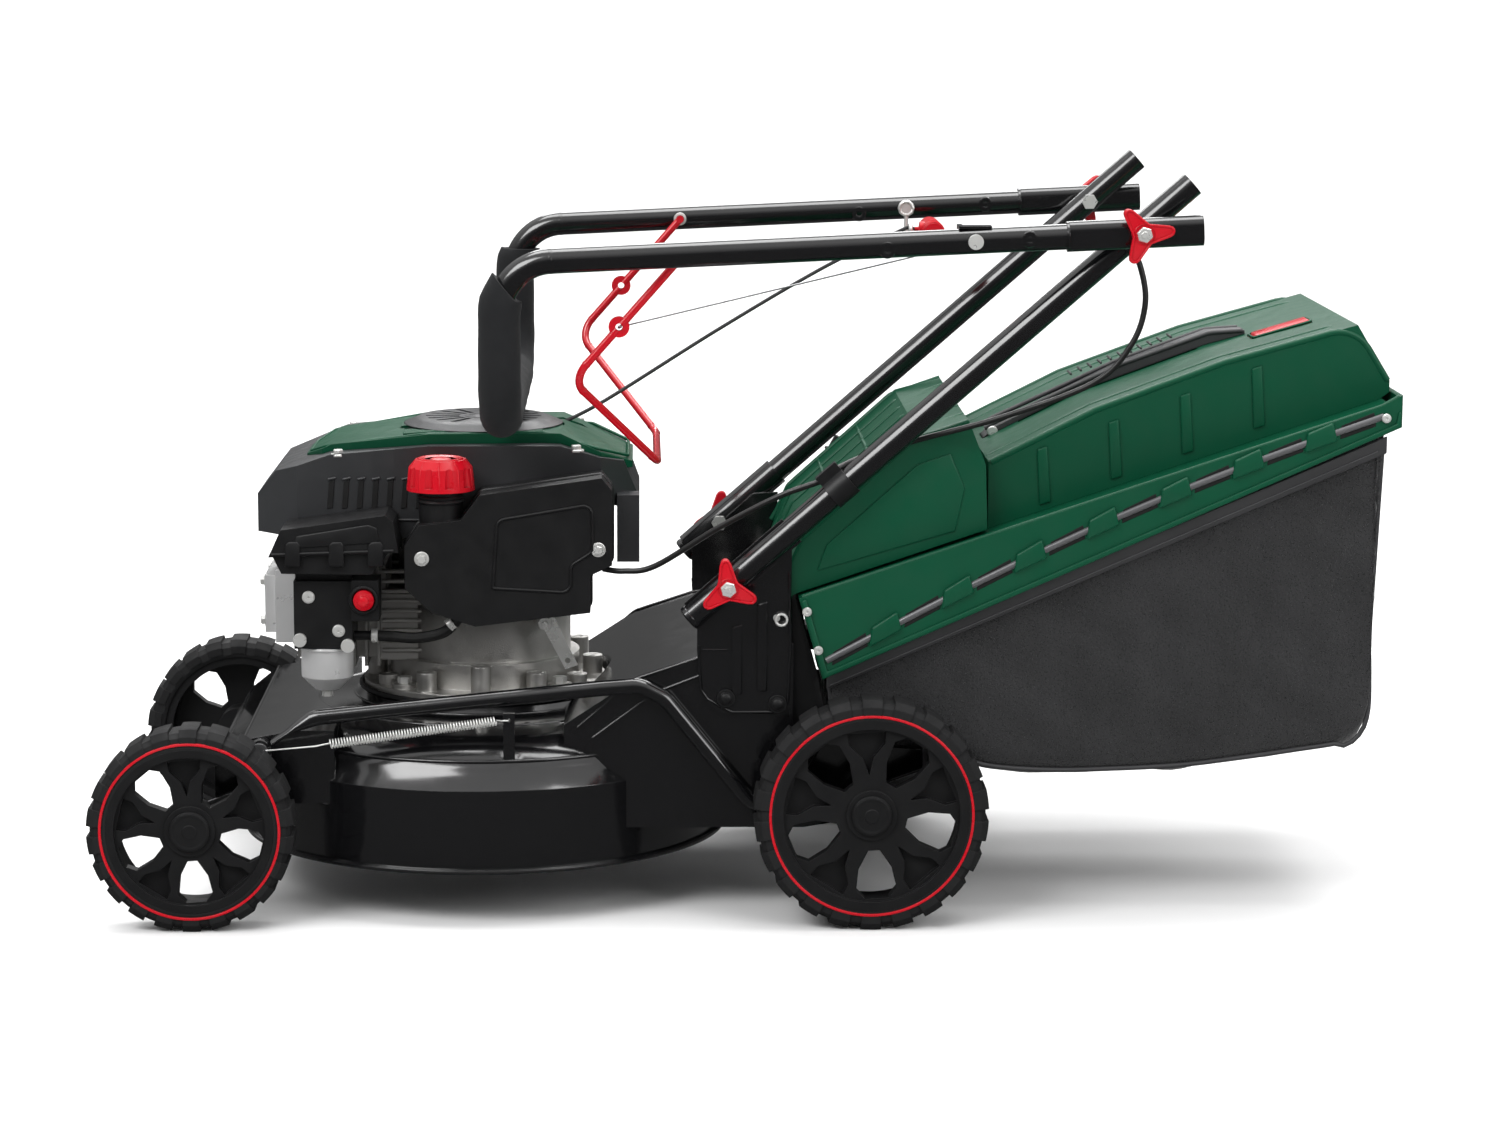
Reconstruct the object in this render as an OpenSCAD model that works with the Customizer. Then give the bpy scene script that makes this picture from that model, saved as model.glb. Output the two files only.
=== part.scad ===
/* [Wheels] */
// Distance between the front and rear wheel centres
wheelbase = 586; // [540:1:705]
// Width over the outer faces of the wheels
overall_w = 469; // [440:1:565]
// Radius of the front tyres over the lugs
front_r = 89; // [82:1:107]
// Radius of the rear tyres over the lugs
rear_r = 101.5; // [92:1:122]
// Width of each tyre
tyre_w = 45; // [36:1:54]
// Length of the swing arm that carries each wheel
arm_len = 60; // [50:1:72]
// Radius of the steel axle rods and wheel spindles
axle_r = 6; // [5:0.5:7.5]

/* [Deck] */
// Distance from the front wheel centres back to the blade spindle
spindle_x = 245; // [235:1:260]
// Tip radius of the blade
blade_r = 205; // [171:1:210]
// Height of the skirt's lower edge above the ground
skirt_z = 47; // [39:1:60]
// Height of the engine seat above the ground
seat_z = 175; // [168:1:190]
// Thickness of the deck's pressed steel
steel_t = 2; // [1.5:0.1:3]

/* [Handles] */
// Outer radius of the handle tubes
tube_r = 11; // [9:0.5:13.5]
// Wall thickness of the handle tubes
tube_wall = 1.5; // [1:0.1:2.5]
// Angle of the lower tubes above the ground
lower_angle = 41.3; // [38:0.1:44]
// Length of each lower tube
lower_len = 569; // [540:1:680]
// Angle from the ground to the folded upper handle
fold_angle = 182.8; // [182:0.1:184]
// Distance from the fold pivot to the corner over the grip
handle_len = 545; // [500:1:600]
// Drop from the folded handle's corner to the grip bar
grip_drop = 136; // [115:1:150]
// Radius of the foam over the grip bar
foam_r = 18.5; // [15:0.5:22]

/* [Grass bag] */
// Distance from the deck's rear face to the bag's rear end
bag_len = 524; // [500:1:630]
// Thickness of the plastic covers
cover_t = 3; // [2:0.5:4]
// Thickness of the bag's cloth wall
cloth_t = 4; // [3:0.5:5]

/* [Hidden] */
$fn = 48;

// Clearances: a running shaft, a sliding gap between moving pieces, and a loose gap
run = 0.05;
gap = 1;
loose = 2;

// Side planes, measured out from the middle
wheel_out = overall_w / 2;
wheel_in = wheel_out - tyre_w;
link_r = 7;
link_y = wheel_in - link_r - 1.5;
arm_t = 4;
arm_out = wheel_in - 12;
arm_in = arm_out - arm_t;
side_out = arm_in - 1.5;
side_in = side_out - steel_t;
plate_t = 3;
plate_out = side_out + plate_t;
lower_y = plate_out + tube_r;
lower_out = lower_y + tube_r;
flat_half = 8.5;
pivot_gap = 6.5;
upper_y = lower_out + pivot_gap + flat_half;
knob_t = 12;
flap_half = side_out - 4;
cloth_half = side_in - 1;
lid_half = wheel_in - 5.5;

// Axles: each wheel hangs ahead of and below its swing arm's pivot
arm_angle = 20;
arm_dx = arm_len * cos(arm_angle);
arm_dz = arm_len * sin(arm_angle);
front_pivot = [arm_dx, front_r + arm_dz];
rear_pivot = [wheelbase + arm_dx, rear_r + arm_dz];
tab_len = 40;
pin_r = 4;

// Deck stations
rear_x = wheelbase - 66;
pan_r = blade_r + 10;
top_z = seat_z - 10;
hinge_x = rear_x - 15;
hinge_z = 265;
hinge_r = 3;

// Handle stations, as [x, z]
low_end = [rear_x - 90, 267];
low_dir = [cos(lower_angle), sin(lower_angle)];
clamp_s = 43;
pivot_s = lower_len - 61;
clip_s = 172;
clamp_pt = low_end + clamp_s * low_dir;
pivot_pt = low_end + pivot_s * low_dir;
fold_dir = [cos(fold_angle), sin(fold_angle)];
tail_len = 52;
corner_pt = pivot_pt + handle_len * fold_dir;
grip_z = corner_pt[1] - grip_drop;
bend_r = 46;
bolt_r = 4;

// Bail stations, measured from the fold pivot
bail_r = 4;
bail_s = 387.5;
bail_pt = pivot_pt + bail_s * fold_dir;
bail_y = upper_y - tube_r - bail_r - loose;
bail_eye = bail_pt + [-56, -63];
bail_knee = bail_pt + [-96, -109];
bail_foot = bail_pt + [-23, -191.5];
bail_foot_y = 100;

// Starter stations
guide_s = 172;
guide_pt = pivot_pt + guide_s * fold_dir;
grip_y = 140;
rope_r = 2;

// Grass bag stations, as [x, z]
lid_front = rear_x + 4;
rim_front = [rear_x + 25, 212];
rim_rear = [rear_x + bag_len, 433];
step_x = rear_x + 170;
lid_top_z = 518;
mid_x = (rear_x + bag_len - front_r) / 2;

function unit(v) = v / norm(v);
function side_of(d) = abs(d[1]) < 0.9 ? unit(cross([0, 1, 0], d)) : unit(cross([1, 0, 0], d));
function bezier(a, b, c, d, t) =
    pow(1 - t, 3) * a + 3 * t * pow(1 - t, 2) * b + 3 * t * t * (1 - t) * c + pow(t, 3) * d;
function clampi(i, n) = min(max(i, 0), n - 1);
function spline_at(p, i, t) =
    let (a = p[clampi(i - 1, len(p))], b = p[i], c = p[i + 1], d = p[clampi(i + 2, len(p))])
    bezier(b, b + (c - a) / 6, c - (d - b) / 6, c, t);
function spline(p, n) =
    concat([for (i = [0 : len(p) - 2]) for (k = [0 : n - 1]) spline_at(p, i, k / n)],
        [p[len(p) - 1]]);
function on_upper(s, up) = pivot_pt + s * fold_dir + up * [fold_dir[1], -fold_dir[0]];

// Moves a piece from the front axle's frame to the model's frame
module place() {
    translate([-mid_x, 0, 0]) children();
}

module frame_at(o, x, y, z) {
    multmatrix([[x[0], y[0], z[0], o[0]], [x[1], y[1], z[1], o[1]],
        [x[2], y[2], z[2], o[2]], [0, 0, 0, 1]]) children();
}

// Draws a piece on the left side and its mirror image on the right
module both_sides() {
    children();
    mirror([0, 1, 0]) children();
}

// Extrudes an [x, z] outline between two y planes
module slab(y0, y1) {
    translate([0, y1, 0]) rotate([90, 0, 0]) linear_extrude(y1 - y0) children();
}

// A cylinder along y between two planes
module ypin(p, y0, y1, r) {
    translate([p[0], y0, p[1]]) rotate([-90, 0, 0]) cylinder(h = y1 - y0, r = r);
}

module rod(a, b, r) {
    d = unit(b - a);
    frame_at(a, side_of(d), cross(d, side_of(d)), d) cylinder(h = norm(b - a), r = r);
}

module tube_section(r, wall) {
    difference() {
        circle(r);
        if (wall > 0) circle(r - wall);
    }
}

// Extra radius of the collars
collar_t = 0.25;

// A thin ring that joins two lengths of bar end to end
module collar(at, dir, r, wall) {
    frame_at(at - dir, side_of(dir), cross(dir, side_of(dir)), dir) difference() {
        cylinder(h = 2, r = r + collar_t);
        if (wall > 0) translate([0, 0, -1]) cylinder(h = 4, r = r - wall - collar_t);
    }
}

// A round bar or tube through a list of corners, with a round bend at each;
// ringed puts a collar at both ends of every bend
module bent(points, bend, r, wall = 0, ringed = false) {
    last = len(points) - 1;
    split = ringed ? 0.3 : 0;
    dirs = [for (i = [0 : last - 1]) unit(points[i + 1] - points[i])];
    turns = [for (i = [1 : last - 1]) acos(min(1, max(-1, dirs[i - 1] * dirs[i])))];
    cuts = [for (i = [0 : last]) i == 0 || i == last ? 0 : bend * tan(turns[i - 1] / 2)];
    for (i = [0 : last - 1]) {
        a = points[i] + dirs[i] * (cuts[i] + (i == 0 ? 0 : split));
        b = points[i + 1] - dirs[i] * (cuts[i + 1] + (i == last - 1 ? 0 : split));
        normal = unit(cross(dirs[max(i, 1) - 1], dirs[max(i, 1)]));
        frame_at(a, cross(normal, dirs[i]), -normal, dirs[i])
            linear_extrude(norm(b - a)) tube_section(r, wall);
    }
    for (i = [1 : last - 1]) {
        start = points[i] - dirs[i - 1] * cuts[i];
        inward = unit(dirs[i] - dirs[i - 1]);
        centre = points[i] + inward * bend / cos(turns[i - 1] / 2);
        out = unit(start - centre);
        frame_at(centre, out, dirs[i - 1], cross(out, dirs[i - 1]))
            rotate_extrude(angle = turns[i - 1]) translate([bend, 0]) tube_section(r, wall);
        if (ringed) {
            collar(start, dirs[i - 1], r, wall);
            collar(points[i] + dirs[i] * cuts[i], dirs[i], r, wall);
        }
    }
}

// A flexible tube swept along a smooth curve through the points
module cord(points, r, n, sides = 8) {
    p = spline(points, n);
    m = len(p);
    tangents = [for (i = [0 : m - 1]) unit(p[clampi(i + 1, m)] - p[clampi(i - 1, m)])];
    rings = [for (i = [0 : m - 1])
        let (s = unit(cross(tangents[i], [0.1, 1, 0.05])), u = cross(s, tangents[i]))
        for (k = [0 : sides - 1])
            p[i] + r * (cos(360 * k / sides) * s + sin(360 * k / sides) * u)];
    walls = [for (i = [0 : m - 2]) for (k = [0 : sides - 1])
        let (q = (k + 1) % sides)
        [i * sides + k, (i + 1) * sides + k, (i + 1) * sides + q, i * sides + q]];
    start_cap = [[for (k = [0 : sides - 1]) k]];
    end_cap = [[for (k = [0 : sides - 1]) (m - 1) * sides + sides - 1 - k]];
    polyhedron(rings, concat(walls, start_cap, end_cap));
}

// ---- Deck ----

// Half section of the blade housing: [radius, height], inset by t
function pan_section(t) = [[0, skirt_z - (t > 0 ? 1 : 0)], [pan_r - t, skirt_z - (t > 0 ? 1 : 0)],
    [pan_r - t, top_z - 45], [pan_r - 9 - 0.7 * t, top_z - 35], [pan_r - 16 - 0.7 * t, top_z - 22 - t],
    [pan_r - 35, top_z - 7 - t], [pan_r - 65, top_z - t], [118 - t, top_z + 3 - t],
    [112 - t, seat_z - t], [0, seat_z - t]];

// Side view of the nose and of the rear tunnel, inset by t
function nose_section(t) = [[16 + t, 100 - t], [16 + t, 137 - t], [41 + t, 157 - t],
    [85, top_z - t], [120 - t, top_z - t], [120 - t, 100 - t]];
function tunnel_section(t) = [[rear_x - 200 + t, 120 + t], [rear_x - 200 + t, top_z + 5 - t],
    [rear_x - 138, top_z + 45 - t], [rear_x - 84, top_z + 63 - t], [rear_x + t, top_z + 77 - t],
    [rear_x + t, 120 + t]];

module deck_side() {
    slab(-side_out, -side_in) polygon([[rear_x - 190, 78], [rear_x - 190, top_z],
        [rear_x - 138, top_z + 45], [rear_x - 84, top_z + 63], [rear_x, top_z + 77],
        [rear_x, 155], [rear_pivot[0] + 8, rear_pivot[1] + 24], [rear_pivot[0] + 20, rear_pivot[1] + 12],
        [rear_pivot[0] + 20, rear_pivot[1] - 14], [rear_pivot[0] + 8, rear_pivot[1] - 24],
        [rear_x + 10, 78]]);
}

// Outer form of the blade housing, as a solid
module pan_form() {
    translate([spindle_x, 0, 0]) rotate_extrude() polygon(pan_section(0));
}

// Space for the engine's base over the front of the rear housing
module engine_recess(t) {
    translate([spindle_x, 0, seat_z - 1.15 * t]) cylinder(h = 60, r = 115 + t);
}

module deck() {
    color([0.05, 0.05, 0.05]) place() difference() {
        union() {
            pan_form();
            slab(-side_out, side_out) polygon(nose_section(0));
            translate([spindle_x, 0, 0]) rotate_extrude()
                translate([pan_r - 0.5, skirt_z]) square([4, 4]);
            translate([spring_rear[0] + 6, spring_y - 1.5, 140]) cube([10, 3, 45]);
        }
        translate([spindle_x, 0, 0]) rotate_extrude() polygon(pan_section(steel_t));
        slab(-side_in, side_in) polygon(nose_section(steel_t));
        difference() {
            slab(-side_in, side_in) polygon(tunnel_section(steel_t));
            engine_recess(steel_t);
        }
        ypin(spring_eye, spring_y - 9, spring_y + 9, 1.5 + run);
        ypin(front_pivot, -side_out - 1, side_out + 1, axle_r + run);
        translate([spindle_x, 0, skirt_z]) cylinder(h = seat_z, r = 30);
    }
}

// The tunnel that throws the cuttings back, and the plates at its sides
module rear_housing() {
    color([0.05, 0.05, 0.05]) place() difference() {
        union() {
            difference() {
                slab(-side_out, side_out) polygon(tunnel_section(0));
                engine_recess(0);
                difference() {
                    slab(-side_in, side_in) polygon(tunnel_section(steel_t));
                    engine_recess(steel_t);
                }
            }
            both_sides() deck_side();
        }
        pan_form();
        ypin(rear_pivot, -side_out - 1, side_out + 1, axle_r + run);
    }
}

// ---- Handle mounts ----

module seat_section() {
    difference() {
        circle(tube_r + 2.2);
        circle(tube_r + 0.2);
        translate([-30, -60]) square([60, 60]);
    }
}

module bracket_left() {
    difference() {
        union() {
            slab(-plate_out, -side_out) polygon([[low_end[0] + 13, 190], [low_end[0] + 26, 180],
                [rear_x - 15, 180], [rear_x - 3, 192], [rear_x - 2, low_end[1] + 58],
                low_end + 86 * low_dir, low_end + 8 * low_dir, [low_end[0] + 6, 240]]);
            translate([low_end[0], -lower_y, low_end[1]]) rotate([0, 90 - lower_angle, 0])
                translate([0, 0, 4]) linear_extrude(112) seat_section();
        }
        ypin(clamp_pt, -lower_out, 0, bolt_r);
        ypin([hinge_x, hinge_z], -lower_out, 0, hinge_r);
    }
}

module handle_brackets() {
    color([0.08, 0.08, 0.08]) place() both_sides() bracket_left();
}

// Two round-headed bolts hold each bracket to the housing's side, and a clip the cable
module black_fittings() {
    color([0.1, 0.1, 0.1]) place() {
        both_sides() for (p = [[rear_x - 59, 194], [rear_x - 14, 189]]) {
            ypin(p, -plate_out - 3, -plate_out, 8);
            ypin(p, -plate_out - 4.5, -plate_out - 3, 5.5);
        }
        cable_clip();
    }
}

module lower_tubes() {
    color([0.06, 0.06, 0.06]) place() both_sides() difference() {
        translate([low_end[0], -lower_y, low_end[1]]) rotate([0, 90 - lower_angle, 0])
            linear_extrude(lower_len) tube_section(tube_r, tube_wall);
        for (p = [clamp_pt, pivot_pt])
            ypin(p, -lower_out - 1, -plate_out + 1, bolt_r);
    }
}

// Hex-headed bolt along y, head on the inner side, shank running outwards
module clamp_bolt(p, head_y, end_y) {
    translate([p[0], -head_y, p[1]]) rotate([-90, 0, 0]) cylinder(h = 5, r = 7.5, $fn = 6);
    ypin(p, -end_y, -head_y, bolt_r);
}

module zinc_fasteners() {
    color([0.75, 0.75, 0.75]) place() {
        both_sides() {
            clamp_bolt(clamp_pt, side_out, lower_out + knob_t + 2);
            clamp_bolt(pivot_pt, plate_out, upper_y + flat_half + knob_t);
            ypin(pivot_pt, -upper_y + flat_half + 0.3, -lower_out - 0.3, 8);
        }
        ypin([hinge_x, hinge_z], -plate_out - 2, plate_out + 2, hinge_r);
        ypin(lever_pivot, plate_out, lever_y - 0.3, 7);
        ypin(lever_pivot, lever_y - 0.5, lever_y + 3.5, 4);
        ypin(lever_pivot, lever_y + 3.3, lever_y + 6, 7);
        for (a = [45 : 90 : 315])
            translate([spindle_x + 98 * cos(a), 98 * sin(a), seat_z + 12])
                cylinder(h = 6, r = 6.5, $fn = 6);
        for (p = [[88, 238], [130, 233]])
            ypin(p, -136, -132, 6);
        translate([110, -112, 184]) cylinder(h = 6, r = 5, $fn = 6);
    }
}

module cable_clip() {
    translate([low_end[0], -lower_y, low_end[1]]) rotate([0, 90 - lower_angle, 0])
        translate([0, 0, clip_s - 11]) linear_extrude(22) difference() {
            union() {
                circle(tube_r + 2);
                translate([-tube_r - 10, -5]) square([12, 10]);
            }
            circle(tube_r);
            translate([-tube_r - 5, 0]) circle(2.6);
        }
}

// The brake cable's route from the engine clamp to the fold pivot
lower_cable_points = [[354, -132, 301], [372, -138, 300], [400, -146, 306], [455, -166, 343],
    [505, -182, 372], [543, -186, 387], [556, -186, 397], [575, -172, 404], [600, -171, 412],
    [626, -176, 421], [697, -188, 442], [774, -200, 473], [806, -203, 507], [817, -202, 542],
    [812, -200, 574], [803, -200, 586]];
cable_r = 2.5;

module brake_cable_lower() {
    color([0.05, 0.05, 0.05]) place() cord(lower_cable_points, cable_r, 4);
}

// ---- Engine ----

module crankcase() {
    color([0.72, 0.72, 0.7]) place() difference() {
        union() {
            translate([spindle_x, 0, seat_z]) cylinder(h = 8, r = 110);
            for (a = [0 : 30 : 330])
                translate([spindle_x + 98 * cos(a), 98 * sin(a), seat_z + 7])
                    cylinder(h = 18 + 8 * sin(a * 3), r = 9);
            for (a = [45 : 90 : 315])
                translate([spindle_x + 98 * cos(a), 98 * sin(a), seat_z + 7])
                    cylinder(h = 5, r = 11);
            translate([spindle_x, 0, seat_z + 7]) cylinder(h = 24, r = 86);
            translate([spindle_x, 0, seat_z + 30]) cylinder(h = 50, r = 78);
            translate([spindle_x, 0, seat_z + 79]) cylinder(h = 12, r = 40);
            translate([150, -52, seat_z + 30]) cube([60, 104, 60]);
            translate([78, -44, 206]) cube([80, 88, 84]);
            for (i = [0 : 6])
                translate([84 + 11 * i, -56, 200]) cube([3, 112, 96]);
            ypin([302, 246], -89, -50, 8);
            translate([300, 84, seat_z + 7]) cylinder(h = 84, r = 13);
        }
        translate([spindle_x, 0, 120]) cylinder(h = 200, r = 12.5 + run);
        ypin([302, 246], -90, -60, 3 + run);
        translate([300, 84, 200]) cylinder(h = 90, r = 9 + run);
    }
}

module valve_cover() {
    color([0.75, 0.75, 0.74]) place() difference() {
        union() {
            translate([60, -58, 222]) cube([24, 106, 66]);
            translate([50, -50, 230]) cube([12, 90, 52]);
            translate([60, -5, 288]) rotate([0, 90, 0]) cylinder(h = 24, r = 24);
        }
        translate([63, -41, 229]) cube([30, 86, 58]);
        translate([74, -44.2, 196]) cube([20, 88.4, 96.2]);
        translate([82, -70, 190]) cube([20, 140, 120]);
    }
}

// Outline of the blower housing from above, inset by t
function shroud_plan(t) = [[45 + t, -50 + t / 2], [84 + t / 2, -90 + t], [352 - t / 2, -90 + t],
    [386 - t, -50 + t / 2], [386 - t, 85 - t / 2], [345 - t / 2, 130 - t], [120 + t / 2, 130 - t],
    [58 + t, 80 - t / 2], [45 + t, 40]];
// Side view of the blower housing, inset by t
function shroud_side(t) = [[45, 322 - 2 * t], [45, 356 - t], [63, 379 - t], [112, 396 - t],
    [200, 404 - t], [316, 404 - t], [372, 388 - t], [386, 352 - t], [386, 322 - 2 * t]];

module shroud_form(t) {
    intersection() {
        linear_extrude(500) polygon(shroud_plan(t));
        slab(-200, 200) polygon(shroud_side(t));
    }
}

module shroud() {
    color([0.22, 0.22, 0.22]) place() difference() {
        union() {
            shroud_form(0);
            translate([366, -88, 300]) cube([20, 26, 60]);
        }
        shroud_form(cover_t);
        translate([366 - cover_t, -88 + cover_t, 290]) cube([20, 40, 60]);
        translate([spindle_x, 0, 380]) cylinder(h = 40, r = 62);
    }
}

// Outline of the green panel from above
trim_plan = [[88, -30], [104, -62], [190, -78], [300, -70], [352, -84], [380, -50],
    [380, 60], [345, 84], [190, 84], [104, 62], [88, 30]];

module shroud_trim() {
    color([0, 0.3, 0.17]) place() difference() {
        intersection() {
            linear_extrude(500) polygon(trim_plan);
            slab(-200, 200) polygon([[80, 380], [88, 389.5], [112, 402], [200, 413], [316, 413],
                [381, 385], [381, 380]]);
        }
        shroud_form(0);
        translate([spindle_x, 0, 380]) cylinder(h = 60, r = 62);
        translate([spindle_x, 0, 403]) rotate([0, 0, 27.5]) translate([55, -6, 0]) cube([48, 12, 40]);
        for (x = [176, 312])
            translate([x - 6, -9, 380]) cube([12, 18, 60]);
    }
}

module recoil_cover() {
    color([0.25, 0.25, 0.25]) place() translate([spindle_x, 0, 0]) difference() {
        union() {
            translate([0, 0, 378]) cylinder(h = 36, r = 61.5);
            translate([0, 0, 414]) cylinder(h = 6, r1 = 72, r2 = 58);
        }
        translate([0, 0, 377]) cylinder(h = 40, r = 58.5);
        for (a = [-60 : 20 : 60])
            rotate([0, 0, a]) translate([22, -2.5, 400]) cube([30, 5, 40]);
        for (a = [120 : 20 : 240])
            rotate([0, 0, a]) translate([22, -2.5, 400]) cube([30, 5, 40]);
        rotate([0, 0, 28.6]) translate([40, 0, 407]) rotate([0, 90, 0]) cylinder(h = 40, r = rope_r + 2);
    }
}

module muffler() {
    color([0.35, 0.35, 0.36]) place() difference() {
        translate([92, 62, 218]) cube([96, 66, 78]);
        for (i = [0 : 7])
            translate([99 + 11 * i, 122, 226]) cube([5, 10, 62]);
        translate([96, 66, 222]) cube([88, 52, 70]);
    }
}

module spark_plug() {
    color([0.85, 0.85, 0.82]) place() translate([70, 48, 262]) rotate([-90, 0, 0]) {
        cylinder(h = 14, r = 10, $fn = 6);
        translate([0, 0, 14]) cylinder(h = 20, r = 6);
        translate([0, 0, 34]) cylinder(h = 26, r = 9);
    }
}

module fuel_tank() {
    color([0.1, 0.1, 0.1]) place() difference() {
        union() {
            slab(-145, -92) polygon([[204, 264], [181, 286], [181, 323], [193, 341], [230, 346],
                [247, 368], [353, 383], [362, 372], [362, 306], [343, 297], [343, 264], [242, 252]]);
            translate([212, -122, 331]) cylinder(h = 49, r = 19);
        }
        slab(-142, -95) polygon([[206, 268], [184, 288], [184, 321], [195, 338], [232, 342],
            [249, 364], [351, 379], [359, 370], [359, 308], [340, 300], [340, 268], [243, 256]]);
        translate([212, -122, 329]) cylinder(h = 60, r = 16.5);
    }
}

module air_filter() {
    color([0.12, 0.12, 0.12]) place() difference() {
        union() {
            slab(-150, -92) polygon([[63, 314], [74, 338], [165, 351], [172, 345], [176, 318]]);
            slab(-146, -92) polygon([[66, 315], [74, 299], [152, 298], [168, 318.5]]);
            translate([84, -126, 290]) cube([50, 30, 10]);
        }
        slab(-147, -95) polygon([[68, 316], [77, 335], [164, 348], [169, 343], [172, 319]]);
    }
}

module carburettor() {
    color([0.1, 0.1, 0.1]) place() difference() {
        union() {
            translate([83, -132, 230]) cube([51, 66, 60]);
            translate([134, -140, 256]) cube([24, 34, 36]);
            translate([134, -110, 238]) rotate([0, 90, 0]) cylinder(h = 14, r = 4);
            translate([88, -68, 234]) cube([40, 12, 48]);
        }
        ypin([145, 275], -141, -130, 9.3);
    }
}

module float_bowl() {
    color([0.78, 0.78, 0.78]) place() translate([110, -108, 190]) difference() {
        union() {
            translate([0, 0, 12]) cylinder(h = 28, r = 23);
            cylinder(h = 12, r1 = 11, r2 = 23);
        }
        translate([0, 0, 10]) cylinder(h = 27, r = 20);
    }
}

hose_points = [[227, -118, 255.5], [214, -116, 242], [190, -112, 236], [168, -110, 237], [148, -110, 238]];

module fuel_hose() {
    color([0.08, 0.08, 0.08]) place() cord(hose_points, 5, 5, 12);
}

// ---- Turning parts of the engine ----

adapter_z = skirt_z + 12;

module crankshaft() {
    color([0.6, 0.6, 0.62]) place() translate([spindle_x, 0, adapter_z + 8])
        cylinder(h = 340 - adapter_z - 8, r = 12.5);
}

module flywheel() {
    color([0.55, 0.55, 0.56]) place() translate([spindle_x, 0, 0]) difference() {
        union() {
            translate([0, 0, 276]) cylinder(h = 26, r = 78);
            for (a = [0 : 22.5 : 337.5])
                rotate([0, 0, a]) translate([40, -1.5, 301]) cube([38, 3, 18]);
            translate([0, 0, 301]) cylinder(h = 10, r = 26);
        }
        translate([0, 0, 270]) cylinder(h = 60, r = 12.5);
    }
}

module blade_adapter() {
    color([0.4, 0.4, 0.4]) place() translate([spindle_x, 0, 0]) {
        difference() {
            union() {
                translate([0, 0, adapter_z]) cylinder(h = 8, r = 34);
                translate([0, 0, adapter_z + 8]) cylinder(h = 30, r = 19);
            }
            translate([0, 0, adapter_z + 8]) cylinder(h = 60, r = 12.5);
        }
        translate([0, 0, adapter_z - 14]) cylinder(h = 10, r = 11, $fn = 6);
    }
}

module blade() {
    color([0.3, 0.3, 0.31]) place() translate([spindle_x, 0, adapter_z - 4]) intersection() {
        union() {
            translate([-blade_r, -26, 0]) cube([2 * blade_r, 52, 4]);
            for (a = [0, 180])
                rotate([0, 0, a]) translate([blade_r - 70, 18, 2]) rotate([38, 0, 0])
                    cube([70, 18, 3]);
        }
        cylinder(h = 60, r = blade_r);
    }
}

module starter_pulley() {
    color([0.85, 0.85, 0.8]) place() translate([spindle_x, 0, 388]) rotate_extrude()
        polygon([[8, 0], [52, 0], [52, 3], [46, 6], [46, 12], [52, 15], [52, 18], [8, 18]]);
}

// ---- Small moving parts on the engine ----

module fuel_cap() {
    color([0.75, 0.05, 0.08]) place() translate([212, -122, 0]) difference() {
        union() {
            translate([0, 0, 370]) cylinder(h = 20, r1 = 30, r2 = 28);
            translate([0, 0, 390]) cylinder(h = 7, r1 = 28, r2 = 22);
        }
        translate([0, 0, 369]) cylinder(h = 12, r = 20.5);
        for (a = [0 : 36 : 324])
            rotate([0, 0, a]) translate([31.5, 0, 374]) cylinder(h = 30, r = 4.5);
    }
}

module primer_bulb() {
    color([0.8, 0.05, 0.08]) place() translate([145, -133, 275]) rotate([90, 0, 0]) {
        cylinder(h = 12, r = 9);
        translate([0, 0, 12]) cylinder(h = 4, r1 = 9, r2 = 5);
    }
}

module governor_lever() {
    color([0.8, 0.8, 0.8]) place() {
        ypin([302, 246], -92, -72, 3);
        difference() {
            slab(-94.5, -92) polygon([[294, 254], [309, 254], [331, 208], [320, 204]]);
            ypin([322, 212], -96, -90, 2.5);
        }
    }
}

module dipstick() {
    color([0.1, 0.1, 0.1]) place() translate([300, 84, 0]) {
        translate([0, 0, 205]) cylinder(h = 62, r = 9);
        translate([0, 0, 267]) cylinder(h = 14, r = 17);
        translate([-3, -17, 281]) cube([6, 34, 10]);
    }
}

// ---- Axles and cutting height ----

// Swing arm for one end of an axle: from the pivot to the wheel centre
module swing_arm(pivot, wheel) {
    slab(-arm_out, -arm_in) polygon([wheel + [-3, 9.5], pivot + [-3, 9.5], pivot + [3, -9.5], wheel + [3, -9.5]]);
    ypin(wheel, -arm_out, -arm_in, 10);
    ypin(pivot, -arm_out, -arm_in, 10);
    ypin(wheel, -wheel_out + 6, -arm_out, axle_r);
}

module axle(pivot, wheel) {
    ypin(pivot, -arm_in, arm_in, axle_r);
    both_sides() swing_arm(pivot, wheel);
    slab(-arm_out, -arm_in) translate(pivot + [-9, 0]) square([18, tab_len]);
    ypin(pivot + [0, tab_len], -arm_out, -arm_in, 9);
    ypin(pivot + [0, tab_len], -arm_out - 7, -arm_out, pin_r);
    ypin(pivot + [0, tab_len], -arm_out - 9, -arm_out - 6.8, 7);
}

module front_axle() {
    color([0.15, 0.15, 0.15]) place() axle(front_pivot, [0, front_r]);
}

module rear_axle() {
    color([0.15, 0.15, 0.15]) place() axle(rear_pivot, [wheelbase, rear_r]);
}

// The rod that makes both axles swing together, on the left side
link_front = front_pivot + [0, tab_len];
link_rear = rear_pivot + [0, tab_len];
link_eye_y = -arm_out - 6;

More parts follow.
